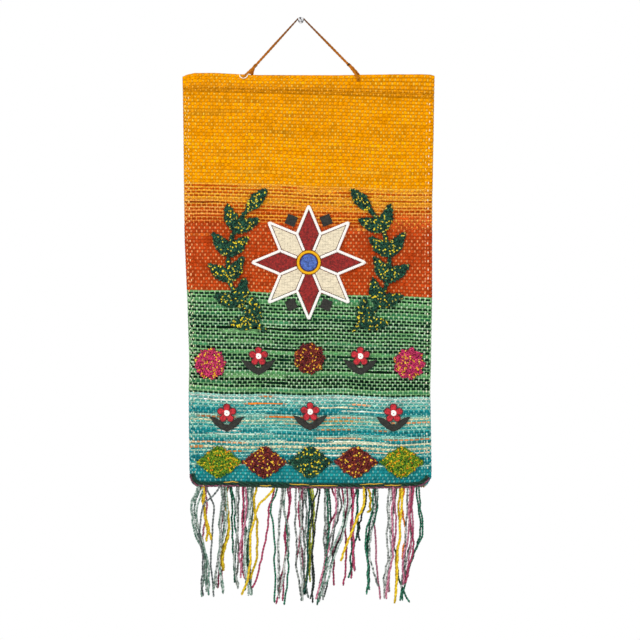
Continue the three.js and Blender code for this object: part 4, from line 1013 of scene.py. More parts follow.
def hem_line(points, above, out):
    """A line that follows the laid band, above its middle and out from the cloth."""
    line = smooth_curve([(x, 0, z) for x, z in points], 220)
    along = unit(np.gradient(line, axis=0))
    line = line + above * np.column_stack([-along[:, 2], np.zeros(len(line)), along[:, 0]])
    line[:, 1] = -(front_of(line[:, 0], line[:, 2]) + out)
    return line


def make_hem_yarns():
    random = np.random.default_rng(15)
    groups = []
    for above, code, second in LAID_YARNS:
        line = hem_line(HEM_ROUTE, above, HEM_BAND_OUT)
        line[:, 2] += 0.35 * drift(random, 1, len(line), 30)[0]
        paths, radius = twisted(line, OUTWARD, 1.0, 0.72, 11.0, phase=above)
        dye = np.array([np.tile(linear(c), (len(line), 1)) for c in (code, second)])
        if code == LAID_YARNS[2][1]:
            plain = (line[:, 0] > PLAIN_STRETCH[0]) & (line[:, 0] < PLAIN_STRETCH[1])
            dye[:, plain] = linear("2A4034")
        dye = dye * (1 + 0.12 * drift(random, 2, len(line), 50)[..., None])
        groups.append(tubes(paths, OUTWARD, radius, radius, 6, dye))
    band = finished(yarn_mesh("laid_hem_yarns", groups, 1), WOOL, "hem_yarn", "hem_yarns")
    middle = hem_line(HEM_ROUTE, 0, HEM_BAND_OUT)
    stitches = []
    for start, end, above in COUCHING:
        x = np.linspace(start, end, 24)
        line = np.column_stack([x, np.interp(x, middle[:, 0], middle[:, 1]),
                                np.interp(x, middle[:, 0], middle[:, 2]) + above])
        line[:, 1] -= 1.9 * np.sin(np.linspace(0.25, np.pi - 0.25, 24)) ** 0.4
        line[:, 2] += 0.8 * drift(random, 1, 24, 6)[0]
        half = 0.8 * np.sin(np.linspace(0.15, np.pi - 0.15, 24)) ** 0.5
        stitches.append(tubes(line[None], OUTWARD, half, half * 0.9, 6, linear("DDB23C")[None]))
    couching = finished(yarn_mesh("hem_couching", stitches), WOOL, "hem_yarn")
    return [band, couching]


# The fringe. Each bundle: its colours, its number of yarns, where it is across at its root and at four
# depths, and how far its ends hang
FRINGE_TABLE = (
    ("greygreen", 4, -152, -161, -157, -144, -143, 167), ("yellow", 2, -148, -147, -139, -139, -139, 83),
    ("slate", 1, -123, -148, -154, -148, -150, 165), ("slate", 1, -142, -131, -135, -136, -132, 167),
    ("pink", 1, -144, -142, -147, -145, -145, 109), ("marl", 2, -119, -120, -121, -126, -129, 157),
    ("yellow", 2, -115, -111, -111, -119, -115, 127), ("magenta", 2, -111, -117, -119, -121, -124, 154),
    ("greygreen", 2, -114, -114, -117, -124, -120, 162), ("green", 2, -106, -101, -101, -102, -98, 148),
    ("grey", 2, -95, -94, -95, -98, -97, 154), ("green", 1, -87, -88, -83, -83, -82, 157),
    ("magenta", 2, -86, -83, -88, -91, -86, 139), ("greygreen", 4, -76, -76, -80, -83, -79, 164),
    ("yellow", 1, -67, -69, -67, -67, -74, 139), ("yellow", 1, -41, -64, -76, -76, -84, 162),
    ("magenta", 1, -40, -49, -50, -60, -68, 153), ("green", 1, -36, -43, -42, -39, -38, 174),
    ("marl", 2, -27, -30, -33, -33, -32, 168), ("grey", 1, -25, -25, -18, -21, -29, 157),
    ("magenta", 2, -18, -16, -24, -24, -28, 176), ("green", 1, -23, -26, -23, -21, -22, 177),
    ("marl", 1, -7, -8, -8, -7, -2, 164), ("magenta", 2, -1, -2, -2, 0, 0, 109),
    ("grey", 4, 4, 3, 3, 3, 4, 170), ("darkgreen", 2, 12, 14, 11, 13, 9, 170),
    ("lime", 2, 16, 18, 16, 13, 9, 154), ("black", 2, 27, 21, 20, 17, 17, 173),
    ("marl", 2, 38, 38, 36, 36, 32, 170), ("green", 2, 41, 43, 41, 38, 30, 176),
    ("magenta", 1, 47, 55, 37, 50, 45, 147), ("marl", 3, 55, 56, 47, 39, 32, 167),
    ("magenta", 1, 62, 67, 68, 67, 68, 147), ("greygreen", 3, 70, 69, 60, 45, 36, 167),
    ("black", 1, 85, 74, 62, 48, 39, 164), ("magenta", 2, 77, 78, 77, 78, 80, 136),
    ("green", 2, 85, 86, 83, 77, 74, 135), ("yellow", 1, 95, 92, 74, 61, 61, 109),
    ("black", 1, 98, 96, 89, 88, 88, 79), ("yellow", 1, 103, 104, 100, 100, 100, 36),
    ("green", 3, 113, 111, 102, 101, 104, 160), ("marl", 1, 115, 111, 106, 104, 114, 148),
    ("pink", 1, 111, 112, 111, 115, 119, 168), ("marl", 3, 136, 135, 135, 133, 129, 167),
    ("pink", 2, 141, 141, 141, 137, 132, 167), ("green", 1, 144, 142, 139, 142, 151, 173),
    ("yellow", 2, 151, 149, 149, 145, 144, 174), ("orange", 1, 156, 154, 157, 156, 156, 109),
    ("pink", 4, 166, 165, 164, 159, 155, 151), ("magenta", 1, 170, 167, 169, 168, 156, 144),
    ("green", 2, 177, 180, 181, 169, 157, 171),
)
# The colours of the two plies of each kind of fringe yarn
FRINGE_YARNS = {
    "greygreen": ("D0DCD4", "34705A"), "yellow": ("EACB2E", "CBA824"), "slate": ("9CA4A2", "343E40"),
    "pink": ("D08CA0", "AC607A"), "marl": ("DADFDA", "243A34"), "magenta": ("BC4A6C", "903A56"),
    "green": ("3C8468", "20503E"), "grey": ("D4DAD4", "2A4A40"), "darkgreen": ("2C5E50", "183E32"),
    "lime": ("CED456", "98A838"), "black": ("48524E", "0E1412"), "orange": ("EE8A34", "D07026"),
}
MARLS = ("marl", "grey", "slate", "greygreen")
# Yarns of another colour within a bundle, by bundle and yarn, and the kinds that are spun thicker
OTHER_YARNS = {(5, 0): "greygreen", (12, 1): "pink", (24, 1): "pink", (31, 0): "pink", (33, 1): "pink",
               (48, 0): "marl", (48, 2): "grey"}
YARN_THICK = {"yellow": 1.28, "slate": 0.9, "black": 0.9}
# How far a yarn swings to each side and out, in slow bends and in short kinks
STRAND_BENDS = (2.2, 1.0)
STRAND_KINKS = (1.1, 0.6)
# How far the loose end of a yarn turns out to a side
END_SPREAD = 5.5
# The least and the most of a marl yarn that is its light fibre
STRAND_LIGHT = (0.15, 0.85)
FRINGE_DEPTHS = (0, 30, 68, 106, 144, 182)
STRAND_PITCH = 3.0
STRAND_LAYERS = (4.4, 7.6, 10.8, 1.8)
STRAND_CLEAR = 3.4
STRAND_CLEAR_FROM = 14
STRAND_WANDER = 2.4
STRAND_SHORTER = 0.1
BUNDLE_TAPER = 0.08
STRAND_STEPS = 84
STRAND_LAY = 9.0
STRAND_PLY = 1.0
STRAND_OFFSET = 0.72
STRIP_MIDDLE = 7.2


def chance(seed):
    """A number from 0 to 1 that is the same for the same yarn."""
    wave = math.sin(seed * 12.9898) * 43758.5453
    return wave - math.floor(wave)


def strand_routes():
    routes = []
    for bundle, (colour, yarns, *middles, length) in enumerate(FRINGE_TABLE):
        middles = [*middles, 2 * middles[4] - middles[3]]
        for yarn in range(yarns):
            seed = bundle * 7 + yarn
            side = (yarn - (yarns - 1) / 2) * STRAND_PITCH
            long = length * (1 - STRAND_SHORTER * chance(seed + 0.5) * (yarn > 0))
            places = [middle + side * (1 - BUNDLE_TAPER * i)
                      + ((chance(seed * 3 + i) - 0.5) * STRAND_WANDER if i > 0 else 0)
                      for i, middle in enumerate(middles)]
            routes.append({"places": places, "long": long, "seed": seed,
                           "colour": OTHER_YARNS.get((bundle, yarn), colour)})
    return routes


def free_layer(route, placed):
    """The layer, in or out from the wall, in which a yarn passes clear of those placed before it."""
    best, best_clear = 0, -1
    for layer in range(len(STRAND_LAYERS)):
        clear = STRAND_CLEAR
        for other in placed:
            if other["layer"] != layer:
                continue
            depths = np.arange(STRAND_CLEAR_FROM, min(route["long"], other["long"]) + 0.001, 6)
            apart = np.abs(np.interp(depths, FRINGE_DEPTHS, route["places"])
                           - np.interp(depths, FRINGE_DEPTHS, other["places"]))
            clear = min(clear, apart.min())
        if clear >= STRAND_CLEAR:
            return layer
        if clear > best_clear:
            best, best_clear = layer, clear
    return best


def make_fringe():
    placed, plies, dyes = [], [], []
    random = np.random.default_rng(16)
    for route in strand_routes():
        route["layer"] = free_layer(route, placed)
        placed.append(route)
        layer = STRAND_LAYERS[route["layer"]]
        top = float(look_up(BOTTOM_EDGE, route["places"][0]))
        depths = [depth for depth in FRINGE_DEPTHS if depth < route["long"] - 4] + [route["long"]]
        across = np.interp(depths, FRINGE_DEPTHS, route["places"])
        points = [(across[0], -(STRIP_MIDDLE * 0.55 + layer * 0.45), top + 3.0)]
        points += [(across[0] * 0.6 + np.interp(9, FRINGE_DEPTHS, route["places"]) * 0.4,
                    -(STRIP_MIDDLE * 0.2 + layer * 0.8), top - 5)]
        points += [(x, -layer, top - depth) for x, depth in zip(across[1:], depths[1:])]
        line = smooth_curve(points, STRAND_STEPS)
        free = np.clip(np.linspace(0, 8, STRAND_STEPS), 0, 1)
        bends = smooth_curve(random.uniform(-1, 1, (7, 2)), STRAND_STEPS)
        kinks = drift(random, 2, STRAND_STEPS, 22)
        for axis in (0, 1):
            line[:, axis] += free * (STRAND_BENDS[axis] * bends[:, axis] + STRAND_KINKS[axis] * kinks[axis])
        line[:, 0] += END_SPREAD * random.uniform(-1, 1) * np.clip(np.linspace(-5, 1, STRAND_STEPS), 0, 1) ** 1.5
        lay = STRAND_LAY * random.uniform(0.85, 1.2)
        paths, _ = twisted(line, OUTWARD, STRAND_PLY, STRAND_OFFSET, lay, phase=2 * np.pi * random.random())
        plies.append(paths)
        base = np.array([linear(code) for code in FRINGE_YARNS[route["colour"]]])
        light = random.uniform(*STRAND_LIGHT)
        tone = 1 + 0.2 * random.uniform(-1, 1) + 0.12 * random.uniform(-1, 1, (2, STRAND_STEPS, 1))
        dye = np.repeat(base[:, None], STRAND_STEPS, axis=1)
        if route["colour"] in MARLS:
            speckle = np.where(random.uniform(0, 1, (1, STRAND_STEPS, 1)) < light, 0.8, 0.22)
            speckle = np.clip(speckle + random.uniform(-0.2, 0.2, (2, STRAND_STEPS, 1)), 0, 1)
            dye = base[0] * speckle + base[1] * (1 - speckle)
        dyes.append(np.clip(dye * tone, 0, 1))
    paths = np.concatenate(plies)
    taper = np.ones(STRAND_STEPS)
    taper[-3:] = (1.1, 1.0, 0.5)
    thick = np.repeat([YARN_THICK.get(route["colour"], 1.0) for route in placed], 2)[:, None]
    half = STRAND_PLY * thick * taper
    group = tubes(paths, OUTWARD, half, half, 4, np.concatenate(dyes))
    return finished(yarn_mesh("fringe_yarns", [group]), WOOL, "fringe_yarn", "fringe")


ground = make_ground()
weave = [*make_wefts(), make_second_wefts(), *make_warps()]
hem_pieces = make_hem_yarns()
fringe = make_fringe()
stitches = make_hem_stitches()


# Felt and burlap pieces

def deselect():
    bpy.ops.object.select_all(action="DESELECT")


def onto_cloth(piece, at):
    """Moves a piece from its flat cutting, with its height along +Z, onto the front of the cloth."""
    flat = np.array([v.co for v in piece.data.vertices]) / MM
    x, z = flat[:, 0] + at[0], flat[:, 1] + at[1]
    points = np.column_stack([x, -(front_of(x, z) + flat[:, 2]), z])
    piece.data.vertices.foreach_set("co", (points * MM).astype(np.float32).ravel())
    piece.data.update()


def cut_felt(name, outline, low, materials, slot, node, at, cuts=7, rim=1.3):
    """A piece cut from felt: its outline as a filled circle pulled to shape, an inset rim, a solid edge and
    a soft bevel, then laid on the cloth. materials are the face's and the cut edge's."""
    deselect()
    bpy.ops.mesh.primitive_circle_add(vertices=len(outline), radius=0.01, fill_type="NGON")
    piece = bpy.context.object
    piece.name = piece.data.name = name
    for vertex, (x, y) in zip(piece.data.vertices, outline):
        vertex.co = (x * MM, y * MM, low * MM)
    for material in materials:
        piece.data.materials.append(material)
    bpy.ops.object.mode_set(mode="EDIT")
    bpy.ops.mesh.select_all(action="SELECT")
    bpy.ops.mesh.normals_make_consistent(inside=False)
    bpy.ops.mesh.inset(thickness=rim * MM, depth=0)
    bpy.ops.mesh.quads_convert_to_tris(ngon_method="BEAUTY")
    bpy.ops.mesh.subdivide(number_cuts=cuts)
    bpy.ops.object.mode_set(mode="OBJECT")
    mark_rim(piece, outline, rim)
    up = sum(face.normal.z for face in piece.data.polygons) > 0
    thick = piece.modifiers.new("thickness", "SOLIDIFY")
    thick.thickness = FELT * MM
    thick.offset = 1 if up else -1
    thick.material_offset_rim = 1
    soft = piece.modifiers.new("soft edge", "BEVEL")
    soft.width = 0.35 * MM
    soft.segments = 2
    soft.angle_limit = math.radians(50)
    for modifier in ("thickness", "soft edge"):
        bpy.ops.object.modifier_apply(modifier=modifier)
    felt_lumps(piece)
    onto_cloth(piece, at)
    piece.data.shade_smooth()
    finished(piece, None, slot, node)
    return piece


def mark_rim(piece, outline, rim):
    """Gives the darker edge material to the faces nearest the outline."""
    line = np.array(outline, float)
    after = np.roll(line, -1, axis=0)
    for face in piece.data.polygons:
        point = np.array(face.center[:2]) / MM
        along = after - line
        share = np.clip(((point - line) * along).sum(1) / np.maximum((along ** 2).sum(1), SMALLEST), 0, 1)
        gap = np.linalg.norm(line + along * share[:, None] - point, axis=1).min()
        face.material_index = 1 if gap < rim * 0.75 else 0


def felt_lumps(piece):
    """Slow unevenness of the felt's face, as sewn down by hand."""
    for vertex in piece.data.vertices:
        x, y, z = vertex.co
        lump = math.sin(x * 420 + y * 130) * math.sin(y * 510 - x * 90)
        vertex.co.z = z + 0.12 * MM * lump * (z > FELT * 0.5 * MM)


def cord_along(name, lines, width, height, lay, code, material, slot, *nodes):
    """Couched cord along flat lines of (x, z) on the cloth, as three plies twisted together."""
    groups = []
    for n, flat in enumerate(lines):
        x, z = flat[:, 0], flat[:, 1]
        line = np.column_stack([x, -(front_of(x, z) + SEAT_GAP + height / 2), z])
        paths, radius = twisted(line, OUTWARD, 0.27 * (width + height) / 2 * 1.02, 0.235 * (width + height) / 2,
                                lay, plies=3, phase=0.7 * n, flat=math.sqrt(width / height))
        shades = np.array([linear(code) * tone for tone in (1.0, 0.93, 0.97)])
        groups.append(tubes(paths, OUTWARD, radius, radius * 0.9, 6, shades))
    return finished(yarn_mesh(name, groups, 1), material, slot, *nodes)


def straight(points, radius, step, loop=False):
    """Straight stretches through the points with their corners rounded, as places a step apart."""
    points = [np.array(p, float) for p in points]
    count = len(points)
    line = []
    for i, point in enumerate(points):
        if not loop and i in (0, count - 1):
            line.append(point)
            continue
        before, after = points[i - 1], points[(i + 1) % count]
        start = point + unit(before - point) * radius
        end = point + unit(after - point) * radius
        for t in (0, 0.25, 0.5, 0.75, 1):
            line.append((1 - t) ** 2 * start + 2 * t * (1 - t) * point + t ** 2 * end)
    if loop:
        line.append(line[0])
    line = np.array(line)
    run = np.concatenate([[0], np.cumsum(np.linalg.norm(np.diff(line, axis=0), axis=1))])
    places = np.linspace(0, run[-1], max(4, round(run[-1] / step)))
    return np.column_stack([np.interp(places, run, line[:, i]) for i in (0, 1)])


# The star of felt and burlap diamonds between couched cords, with four black diamonds between its tips
STAR_AT = (12.0, -366.0)
STAR_TIPS = 8
STAR_REACH = 86.0
STAR_HALF = math.pi / STAR_TIPS
STAR_SIDE = STAR_REACH / (2 * math.cos(STAR_HALF))
RING_OUTER = 18.4
RING_INNER = 13.8
GEM_HALF = 11.0
GEM_FAR = 69.0


def turned(points, angle, at=(0.0, 0.0)):
    c, s = math.cos(angle), math.sin(angle)
    return [(x * c - y * s + at[0], x * s + y * c + at[1]) for x, y in points]


def star_diamond():
    """One diamond of the star, drawn in from its cords and cut round at the ring."""
    inset = CORD_WIDE / 2 + LAYER_GAP
    shift = inset / math.sin(STAR_HALF)
    wide = STAR_SIDE * math.sin(STAR_HALF) * (STAR_REACH - 2 * shift) / STAR_REACH
    ring = RING_OUTER + LAYER_GAP
    base = -shift * math.cos(STAR_HALF)
    along = base + math.sqrt(base ** 2 - shift ** 2 + ring ** 2)
    edge = math.atan2(along * math.sin(STAR_HALF), shift + along * math.cos(STAR_HALF))
    arc = [(ring * math.cos(a), ring * math.sin(a)) for a in np.linspace(edge, -edge, 5)]
    return [*arc, (STAR_REACH / 2, -wide), (STAR_REACH - shift, 0), (STAR_REACH / 2, wide)]


def star_corner(k, far):
    return (STAR_AT[0] + math.cos(k * STAR_HALF) * far, STAR_AT[1] + math.sin(k * STAR_HALF) * far)


def circle(radius, steps, at=(0.0, 0.0)):
    angles = 2 * math.pi * np.arange(steps) / steps
    return [(at[0] + radius * math.cos(a), at[1] + radius * math.sin(a)) for a in angles]


def make_star():
    for tip in range(STAR_TIPS):
        outline = turned(star_diamond(), 2 * tip * STAR_HALF)
        red = tip % 2 == 0
        cut_felt(f"star_piece_{tip + 1}", outline, SEAT_GAP, (DEEP_RED_FELT, RED_EDGE) if red
                 else (BURLAP, BURLAP_EDGE),
                 "red_felt" if red else "cream_burlap", f"star_diamond_{tip + 1}", STAR_AT)
    corners = [star_corner(k, STAR_REACH if k % 2 == 0 else STAR_SIDE) for k in range(2 * STAR_TIPS)]
    lines = [straight(corners, 2.6, 1.3, loop=True)]
    lines += [straight([star_corner(k, RING_OUTER + 1.2), star_corner(k, STAR_SIDE - 1.0)], 0, 1.3)
              for k in range(1, 2 * STAR_TIPS, 2)]
    cord_along("star_cord", lines, CORD_WIDE, CORD_HIGH, 9.0, "FFFBF6", COTTON, "white_cord", "star_cords")
    ring = np.array(circle((RING_OUTER + RING_INNER) / 2, 90, STAR_AT))
    cord_along("star_ring_cord", [np.vstack([ring, ring[:1]])], RING_OUTER - RING_INNER, CORD_HIGH, 8.0,
               "F5B916", COTTON, "yellow_cord", "star_ring")
    cut_felt("star_middle_piece", circle(RING_INNER - LAYER_GAP, 28), SEAT_GAP, (BLUE_FELT, BLUE_EDGE),
             "blue_felt", "star_middle", STAR_AT, cuts=3)


def make_gems():
    for i in range(4):
        angle = (2 * i + 1) * math.pi / 4 + STAR_HALF * (1 if i % 2 == 0 else -1)
        at = (STAR_AT[0] + math.cos(angle) * GEM_FAR, STAR_AT[1] + math.sin(angle) * GEM_FAR)
        outline = turned(circle(GEM_HALF, 4), angle)
        cut_felt(f"gem_piece_{i + 1}", outline, SEAT_GAP, (BLACK_FELT, BLACK_EDGE), "black_felt",
                 f"gem_{i + 1}", at, cuts=4)


# Felt flowers: a black pair of leaves, red petals and a coil of white cord
FLOWERS = ((-64, -516), (90, -516), (-112, -602), (14, -600), (140, -602))
FLOWER_UP = 8.0
PETALS = 5
PETAL_REACH = 15.0
PETAL_NOTCH = 8.5
PETAL_STEPS = 10
LEAF_PAIR = ((0, -20), (9, -16), (19, -8), (26, 3), (16, 1), (8, -4), (3, -9))


def petal_outline():
    points = []
    for i in range(PETALS * PETAL_STEPS):
        angle = 2 * math.pi * i / (PETALS * PETAL_STEPS)
        wave = abs(math.cos(PETALS * angle / 2)) ** 0.6
        far = PETAL_NOTCH + (PETAL_REACH - PETAL_NOTCH) * wave
        points.append((math.cos(angle + math.pi / 2) * far, math.sin(angle + math.pi / 2) * far + FLOWER_UP))
    return points


def make_flowers():
    leaves = [*LEAF_PAIR, *[(-x, y) for x, y in LEAF_PAIR[:0:-1]]]
    for i, at in enumerate(FLOWERS):
        cut_felt(f"flower_leaf_piece_{i + 1}", leaves, SEAT_GAP, (BLACK_FELT, BLACK_EDGE), "black_felt",
                 f"flower_leaves_{i + 1}", at, cuts=4)
        cut_felt(f"flower_petal_piece_{i + 1}", petal_outline(), SEAT_GAP + FELT + LAYER_GAP,
                 (RED_FELT, RED_EDGE), "red_felt", f"flower_petals_{i + 1}", at, cuts=3)
        make_flower_coil(i, at)


def make_flower_coil(i, at):
    turns = np.linspace(0, 2 * np.pi * 2.4, 60)
    far = 0.7 + 3.5 * turns / turns[-1]
    x = at[0] + np.cos(turns) * far
    z = at[1] + FLOWER_UP + np.sin(turns) * far
    low = SEAT_GAP + 2 * (FELT + LAYER_GAP) + 0.8
    line = np.column_stack([x, -(front_of(x, z) + low), z])
    coil = yarn_mesh(f"flower_coil_{i + 1}", [tubes(line[None], OUTWARD, 0.85, 0.8, 7, linear("FFFBF6")[None])], 1)
    finished(coil, COTTON, "white_cord", f"flower_middle_{i + 1}")


# Stitched yarn pile: a rounded pad of short stitches that lie in every direction

# The colours of each kind of pile, with their shares of the stitches
PILES = {
    "green_pile": (("1C3F31", 0.36), ("234E3B", 0.26), ("2F6349", 0.12), ("16302A", 0.12), ("D9C12E", 0.10),
                   ("B9B04A", 0.04)),
    "olive_pile": (("4F7A1E", 0.28), ("6B8A1C", 0.24), ("8C9A20", 0.16), ("35601E", 0.12), ("C9A81C", 0.14),
                   ("D98A1E", 0.06)),
    "magenta_pile": (("B5305B", 0.36), ("C83E66", 0.2), ("9A2450", 0.18), ("A8304A", 0.08), ("E09A2A", 0.12),
                     ("E8B84A", 0.06)),
    "maroon_pile": (("6E2A22", 0.36), ("7E3028", 0.22), ("5A2030", 0.16), ("4E1C18", 0.12), ("E8B33A", 0.10),
                    ("D98A2A", 0.04)),
}
STITCH_LONG = 3.7
STITCH_HALF = 0.95
STITCH_SPACING = 2.2
STITCH_STEPS = 4
# How a stitch's dye is scaled along it: painted shade at its two ends, where it dives into the pile,
# and a painted highlight on its raised middle
STITCH_SHADE_AND_HIGHLIGHT = (0.3, 1.15, 1.15, 0.3)
RIM_SOFT = 0.9


def reach_at(angle, reach):
    c = np.abs(np.cos(angle)) / reach["long"]
    s = np.abs(np.sin(angle)) / reach["wide"]
    plain = (c ** reach["power"] + s ** reach["power"]) ** (-1 / reach["power"])
    return plain * (1 + reach["lobe_depth"] * np.cos(angle * reach["lobes"]))


def pad_height(share):
    """The height of the pad above the cloth, from its middle (0) to its rim (1)."""
    return np.interp(share, (0, 0.55, 0.86, 1.0, 1.06), (PILE, PILE - 0.4, PILE - 1.3, 2.4, 1.6))


def pad_points(random, pads, spacing):
    """Places a spacing apart, a little jittered, inside any of the pads: x, z and the share of the reach."""
    corners = np.array([[p["x"] - 34, p["z"] - 34, p["x"] + 34, p["z"] + 34] for p in pads])
    low, high = corners[:, :2].min(0), corners[:, 2:].max(0)
    x, z = np.meshgrid(np.arange(low[0], high[0], spacing), np.arange(low[1], high[1], spacing))
    x = x + spacing / 2 * (np.arange(x.shape[0]) % 2)[:, None]
    x, z = x.ravel(), z.ravel()
    x = x + random.uniform(-0.4, 0.4, len(x)) * spacing
    z = z + random.uniform(-0.4, 0.4, len(z)) * spacing
    share = pad_share(x, z, pads)
    inside = share < 0.985
    return x[inside], z[inside], share[inside]


def pad_share(x, z, pads):
    """How far out a place is in the nearest pad: 0 at its middle, 1 at its rim."""
    found = np.full(np.shape(x), 9.0)
    for pad in pads:
        dx, dz = x - pad["x"], z - pad["z"]
        c, s = math.cos(pad["turn"]), math.sin(pad["turn"])
        across, up = dx * c + dz * s, -dx * s + dz * c
        far = reach_at(np.arctan2(up, across), pad["reach"])
        found = np.minimum(found, np.hypot(across, up) / far)
    return found


def pad_body(pads, dye):
    """The ground of the pile, one low dome under each pad, in a darkened dye: painted shade in the gaps between the
    stitches.
    """
    groups = []
    for pad in pads:
        angles = 2 * np.pi * np.arange(24) / 24
        far = reach_at(angles, pad["reach"])
        c, s = math.cos(pad["turn"]), math.sin(pad["turn"])
        rings = []
        for share, high in ((0.06, 0.6), (0.9, 0.6), (0.95, 1.4), (0.8, 3.0), (0.45, 3.7), (0.06, 3.9)):
            u, v = np.cos(angles) * far * share, np.sin(angles) * far * share
            x, z = pad["x"] + u * c - v * s, pad["z"] + u * s + v * c
            rings.append(np.column_stack([x, -(front_of(x, z) + high), z]))
        points = np.array(rings)[None]
        run = np.cumsum(np.ones((1, len(rings))), axis=1)
        groups.append({"points": points, "dye": np.broadcast_to(dye, points.shape), "run": run})
    return groups


def make_pile(name, node, kind, pads, seed, spacing=STITCH_SPACING):
    random = np.random.default_rng(seed)
    x, z, share = pad_points(random, pads, spacing)
    count = len(x)
    direction = random.uniform(0, np.pi, count)
    long = STITCH_LONG * random.uniform(0.75, 1.2, count)
    step = np.linspace(-0.5, 0.5, STITCH_STEPS)
    px = x[:, None] + np.cos(direction)[:, None] * long[:, None] * step
    pz = z[:, None] + np.sin(direction)[:, None] * long[:, None] * step
    edge = pad_share(px, pz, pads)
    pull = np.clip((edge - 1.02) / np.maximum(edge, SMALLEST), 0, 0.5)
    px, pz = px + (x[:, None] - px) * pull, pz + (z[:, None] - pz) * pull
    arch = np.interp(np.abs(step), (0.17, 0.5), (0.0, -1.7))
    lump = random.uniform(-0.45, 0.35, count)
    high = pad_height(pad_share(px, pz, pads)) - 0.7 + arch + lump[:, None]
    out = front_of(px, pz) + np.maximum(high, 0.9)
    paths = np.stack([px, -out, pz], axis=-1)
    codes, shares = zip(*PILES[kind])
    picked = random.choice(len(codes), count, p=shares)
    dye = np.array([linear(code) for code in codes])[picked] * random.uniform(0.65, 1.45, (count, 1))
    dye = dye[:, None] * np.array(STITCH_SHADE_AND_HIGHLIGHT)[:, None]
    half = STITCH_HALF * random.uniform(0.85, 1.1, (count, 1)) * np.array([0.7, 1.0, 1.0, 0.7])
    stitches = tubes(paths, OUTWARD, half, half * 0.9, 4, np.clip(dye, 0, 1))
    # The body takes the fourth colour at three tenths of its strength: painted shade between the stitches
    body = pad_body(pads, linear(codes[3]) * 0.3)
    return finished(yarn_mesh(name, [stitches, *body]), WOOL, kind, node)


WREATH_REACH = 122.0
WREATH_START = 32.0
WREATH_END = 132.0
LEAF_PAIRS = 5
LEAF = {"long": 23.0, "wide": 10.5, "power": 1.45, "lobes": 5, "lobe_depth": 0.05}
LEAF_SPLAY = 42.0
LEAF_OUT = 17.0
STEM = {"long": 7.0, "wide": 3.4, "power": 2.0, "lobes": 1, "lobe_depth": 0.0}
ROSETTE = {"long": 23.0, "wide": 23.0, "power": 2.0, "lobes": 9, "lobe_depth": 0.06}
ROSETTES = (("left", -137, -519, "magenta_pile"), ("middle", 13, -511, "maroon_pile"),
            ("right", 164, -519, "magenta_pile"))
FOOT_DIAMOND = {"long": 33.5, "wide": 25.0, "power": 1.15, "lobes": 10, "lobe_depth": 0.035}
FOOT_X = 14.0
FOOT_Z = -668.0
FOOT_PITCH = 69.0
FOOT_KINDS = ("olive_pile", "maroon_pile", "green_pile", "maroon_pile", "olive_pile")


def wreath_point(degrees, side):
    angle = math.radians(degrees)
    return side * math.sin(angle) * WREATH_REACH, -math.cos(angle) * WREATH_REACH


def wreath_pads(side):
    pads = []
    for pair in range(LEAF_PAIRS + 1):
        degrees = WREATH_START + (WREATH_END - WREATH_START) * (pair + 0.5) / (LEAF_PAIRS + 0.5)
        x, y = wreath_point(degrees, side)
        ahead_x, ahead_y = wreath_point(degrees + 1, side)
        along = math.atan2(ahead_y - y, ahead_x - x)
        for splay in (0,) if pair == LEAF_PAIRS else (LEAF_SPLAY, -LEAF_SPLAY):
            angle = along + math.radians(splay)
            pads.append({"x": STAR_AT[0] + x + math.cos(angle) * LEAF_OUT,
                         "z": STAR_AT[1] + y + math.sin(angle) * LEAF_OUT, "turn": angle, "reach": LEAF})
    for degrees in np.arange(WREATH_START + 3, WREATH_END, 4):
        x, y = wreath_point(degrees, side)
        pads.append({"x": STAR_AT[0] + x, "z": STAR_AT[1] + y, "turn": math.radians(degrees) * side,
                     "reach": STEM})
    return pads


def make_piles():
    for name, side, seed in (("wreath_left", -1, 21), ("wreath_right", 1, 22)):
        make_pile(f"{name}_pile", name, "green_pile", wreath_pads(side), seed)
    for i, (place, x, z, kind) in enumerate(ROSETTES):
        pad = {"x": x, "z": z, "turn": 0.0, "reach": ROSETTE}
        make_pile(f"rosette_{place}_pile", f"rosette_{place}", kind, [pad], 30 + i)
    for i, kind in enumerate(FOOT_KINDS):
        x = FOOT_X + (i - (len(FOOT_KINDS) - 1) / 2) * FOOT_PITCH
        pad = {"x": x, "z": FOOT_Z, "turn": 0.0, "reach": FOOT_DIAMOND}
        make_pile(f"foot_pile_{i + 1}", f"foot_diamond_{i + 1}", kind, [pad], 40 + i)


make_star()
make_gems()
make_flowers()
make_piles()


# The push pin: a moulded body spun from its profile, out from the wall and radius, on a steel needle
PIN_BODY = (
    (2.4, 0.0), (2.4, 3.7), (2.7, 4.1), (3.3, 4.3), (3.9, 4.1), (4.4, 3.1), (5.2, 1.8), (6.4, 1.62),
    (7.8, 1.6), (9.4, 1.65), (10.8, 1.85), (11.6, 2.5), (12.4, 3.7), (13.1, 4.35), (13.9, 4.55),
    (14.7, 4.4), (15.3, 3.7), (15.6, 2.4), (15.65, 0.0),
)
PIN_NEEDLE = ((2.9, 0.0), (2.9, 0.6), (2.3, 0.6), (-7.6, 0.6), (-8.6, 0.4), (-9.5, 0.0))


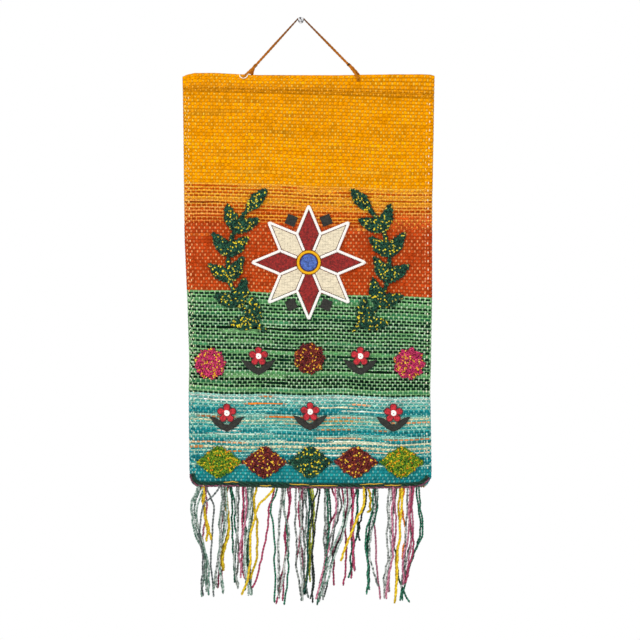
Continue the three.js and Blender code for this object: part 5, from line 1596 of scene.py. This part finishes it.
def spun(name, profile, steps, material, slot, *nodes):
    """A turned body: its profile spun round the pin's axis, closed at both ends."""
    deselect()
    mesh = bpy.data.meshes.new(name)
    points = [(radius * MM, -out * MM, 0) for out, radius in profile]
    mesh.from_pydata(points, [(i, i + 1) for i in range(len(points) - 1)], [])
    piece = shown(name, mesh)
    piece.select_set(True)
    bpy.context.view_layer.objects.active = piece
    bpy.ops.object.mode_set(mode="EDIT")
    bpy.ops.mesh.select_all(action="SELECT")
    bpy.ops.mesh.spin(steps=steps, angle=2 * math.pi, center=(0, 0, 0), axis=(0, 1, 0))
    bpy.ops.mesh.select_all(action="SELECT")
    bpy.ops.mesh.remove_doubles(threshold=0.005 * MM)
    bpy.ops.mesh.normals_make_consistent(inside=False)
    bpy.ops.object.mode_set(mode="OBJECT")
    piece.data.shade_smooth()
    return finished(piece, material, slot, *nodes)


spun("pin_body", PIN_BODY, 36, CLEAR, "clear_plastic", "push_pin")
spun("pin_needle", PIN_NEEDLE, 20, STEEL, "clear_plastic")


# The stage: pale floor, soft lights and a white surround

def make_stage():
    deselect()
    bpy.ops.mesh.primitive_plane_add(size=2.4, location=(0.01, 0, -1.45))
    floor = bpy.context.object
    floor.name = "floor"
    material = plain_material("painted floor, pale matt", "E8E6E2", {"Roughness": 0.9})
    floor.data.materials.append(material)
    for name, power, size, place, turn in (
            ("key light", 36.5, 1.4, (-1.5, -2.2, 0.7), (68, 0, -34)),
            ("fill light", 13, 1.8, (1.7, -2.0, -0.6), (92, 0, 40)),
            ("back light", 9, 1.6, (0.6, 2.2, 0.6), (-68, 0, -14))):
        data = bpy.data.lights.new(name, "AREA")
        data.energy = power
        data.size = size
        light = bpy.data.objects.new(name, data)
        light.location = place
        light.rotation_euler = [math.radians(angle) for angle in turn]
        bpy.context.scene.collection.objects.link(light)
    world = bpy.data.worlds.new("white surround")
    world.use_nodes = True
    tree = world.node_tree
    tree.nodes.clear()
    seen = add_node(tree, "ShaderNodeBackground", {"Color": (1, 1, 1, 1), "Strength": 1.0})
    glow = add_node(tree, "ShaderNodeBackground", {"Color": (1, 1, 1, 1), "Strength": 0.8})
    ray = add_node(tree, "ShaderNodeLightPath")
    mix = add_node(tree, "ShaderNodeMixShader", links={
        "Fac": ray.outputs["Is Camera Ray"], 1: glow.outputs["Background"], 2: seen.outputs["Background"]})
    add_node(tree, "ShaderNodeOutputWorld", links={"Surface": mix.outputs["Shader"]})
    bpy.context.scene.world = world
    bpy.context.scene.view_settings.view_transform = "Standard"


make_stage()
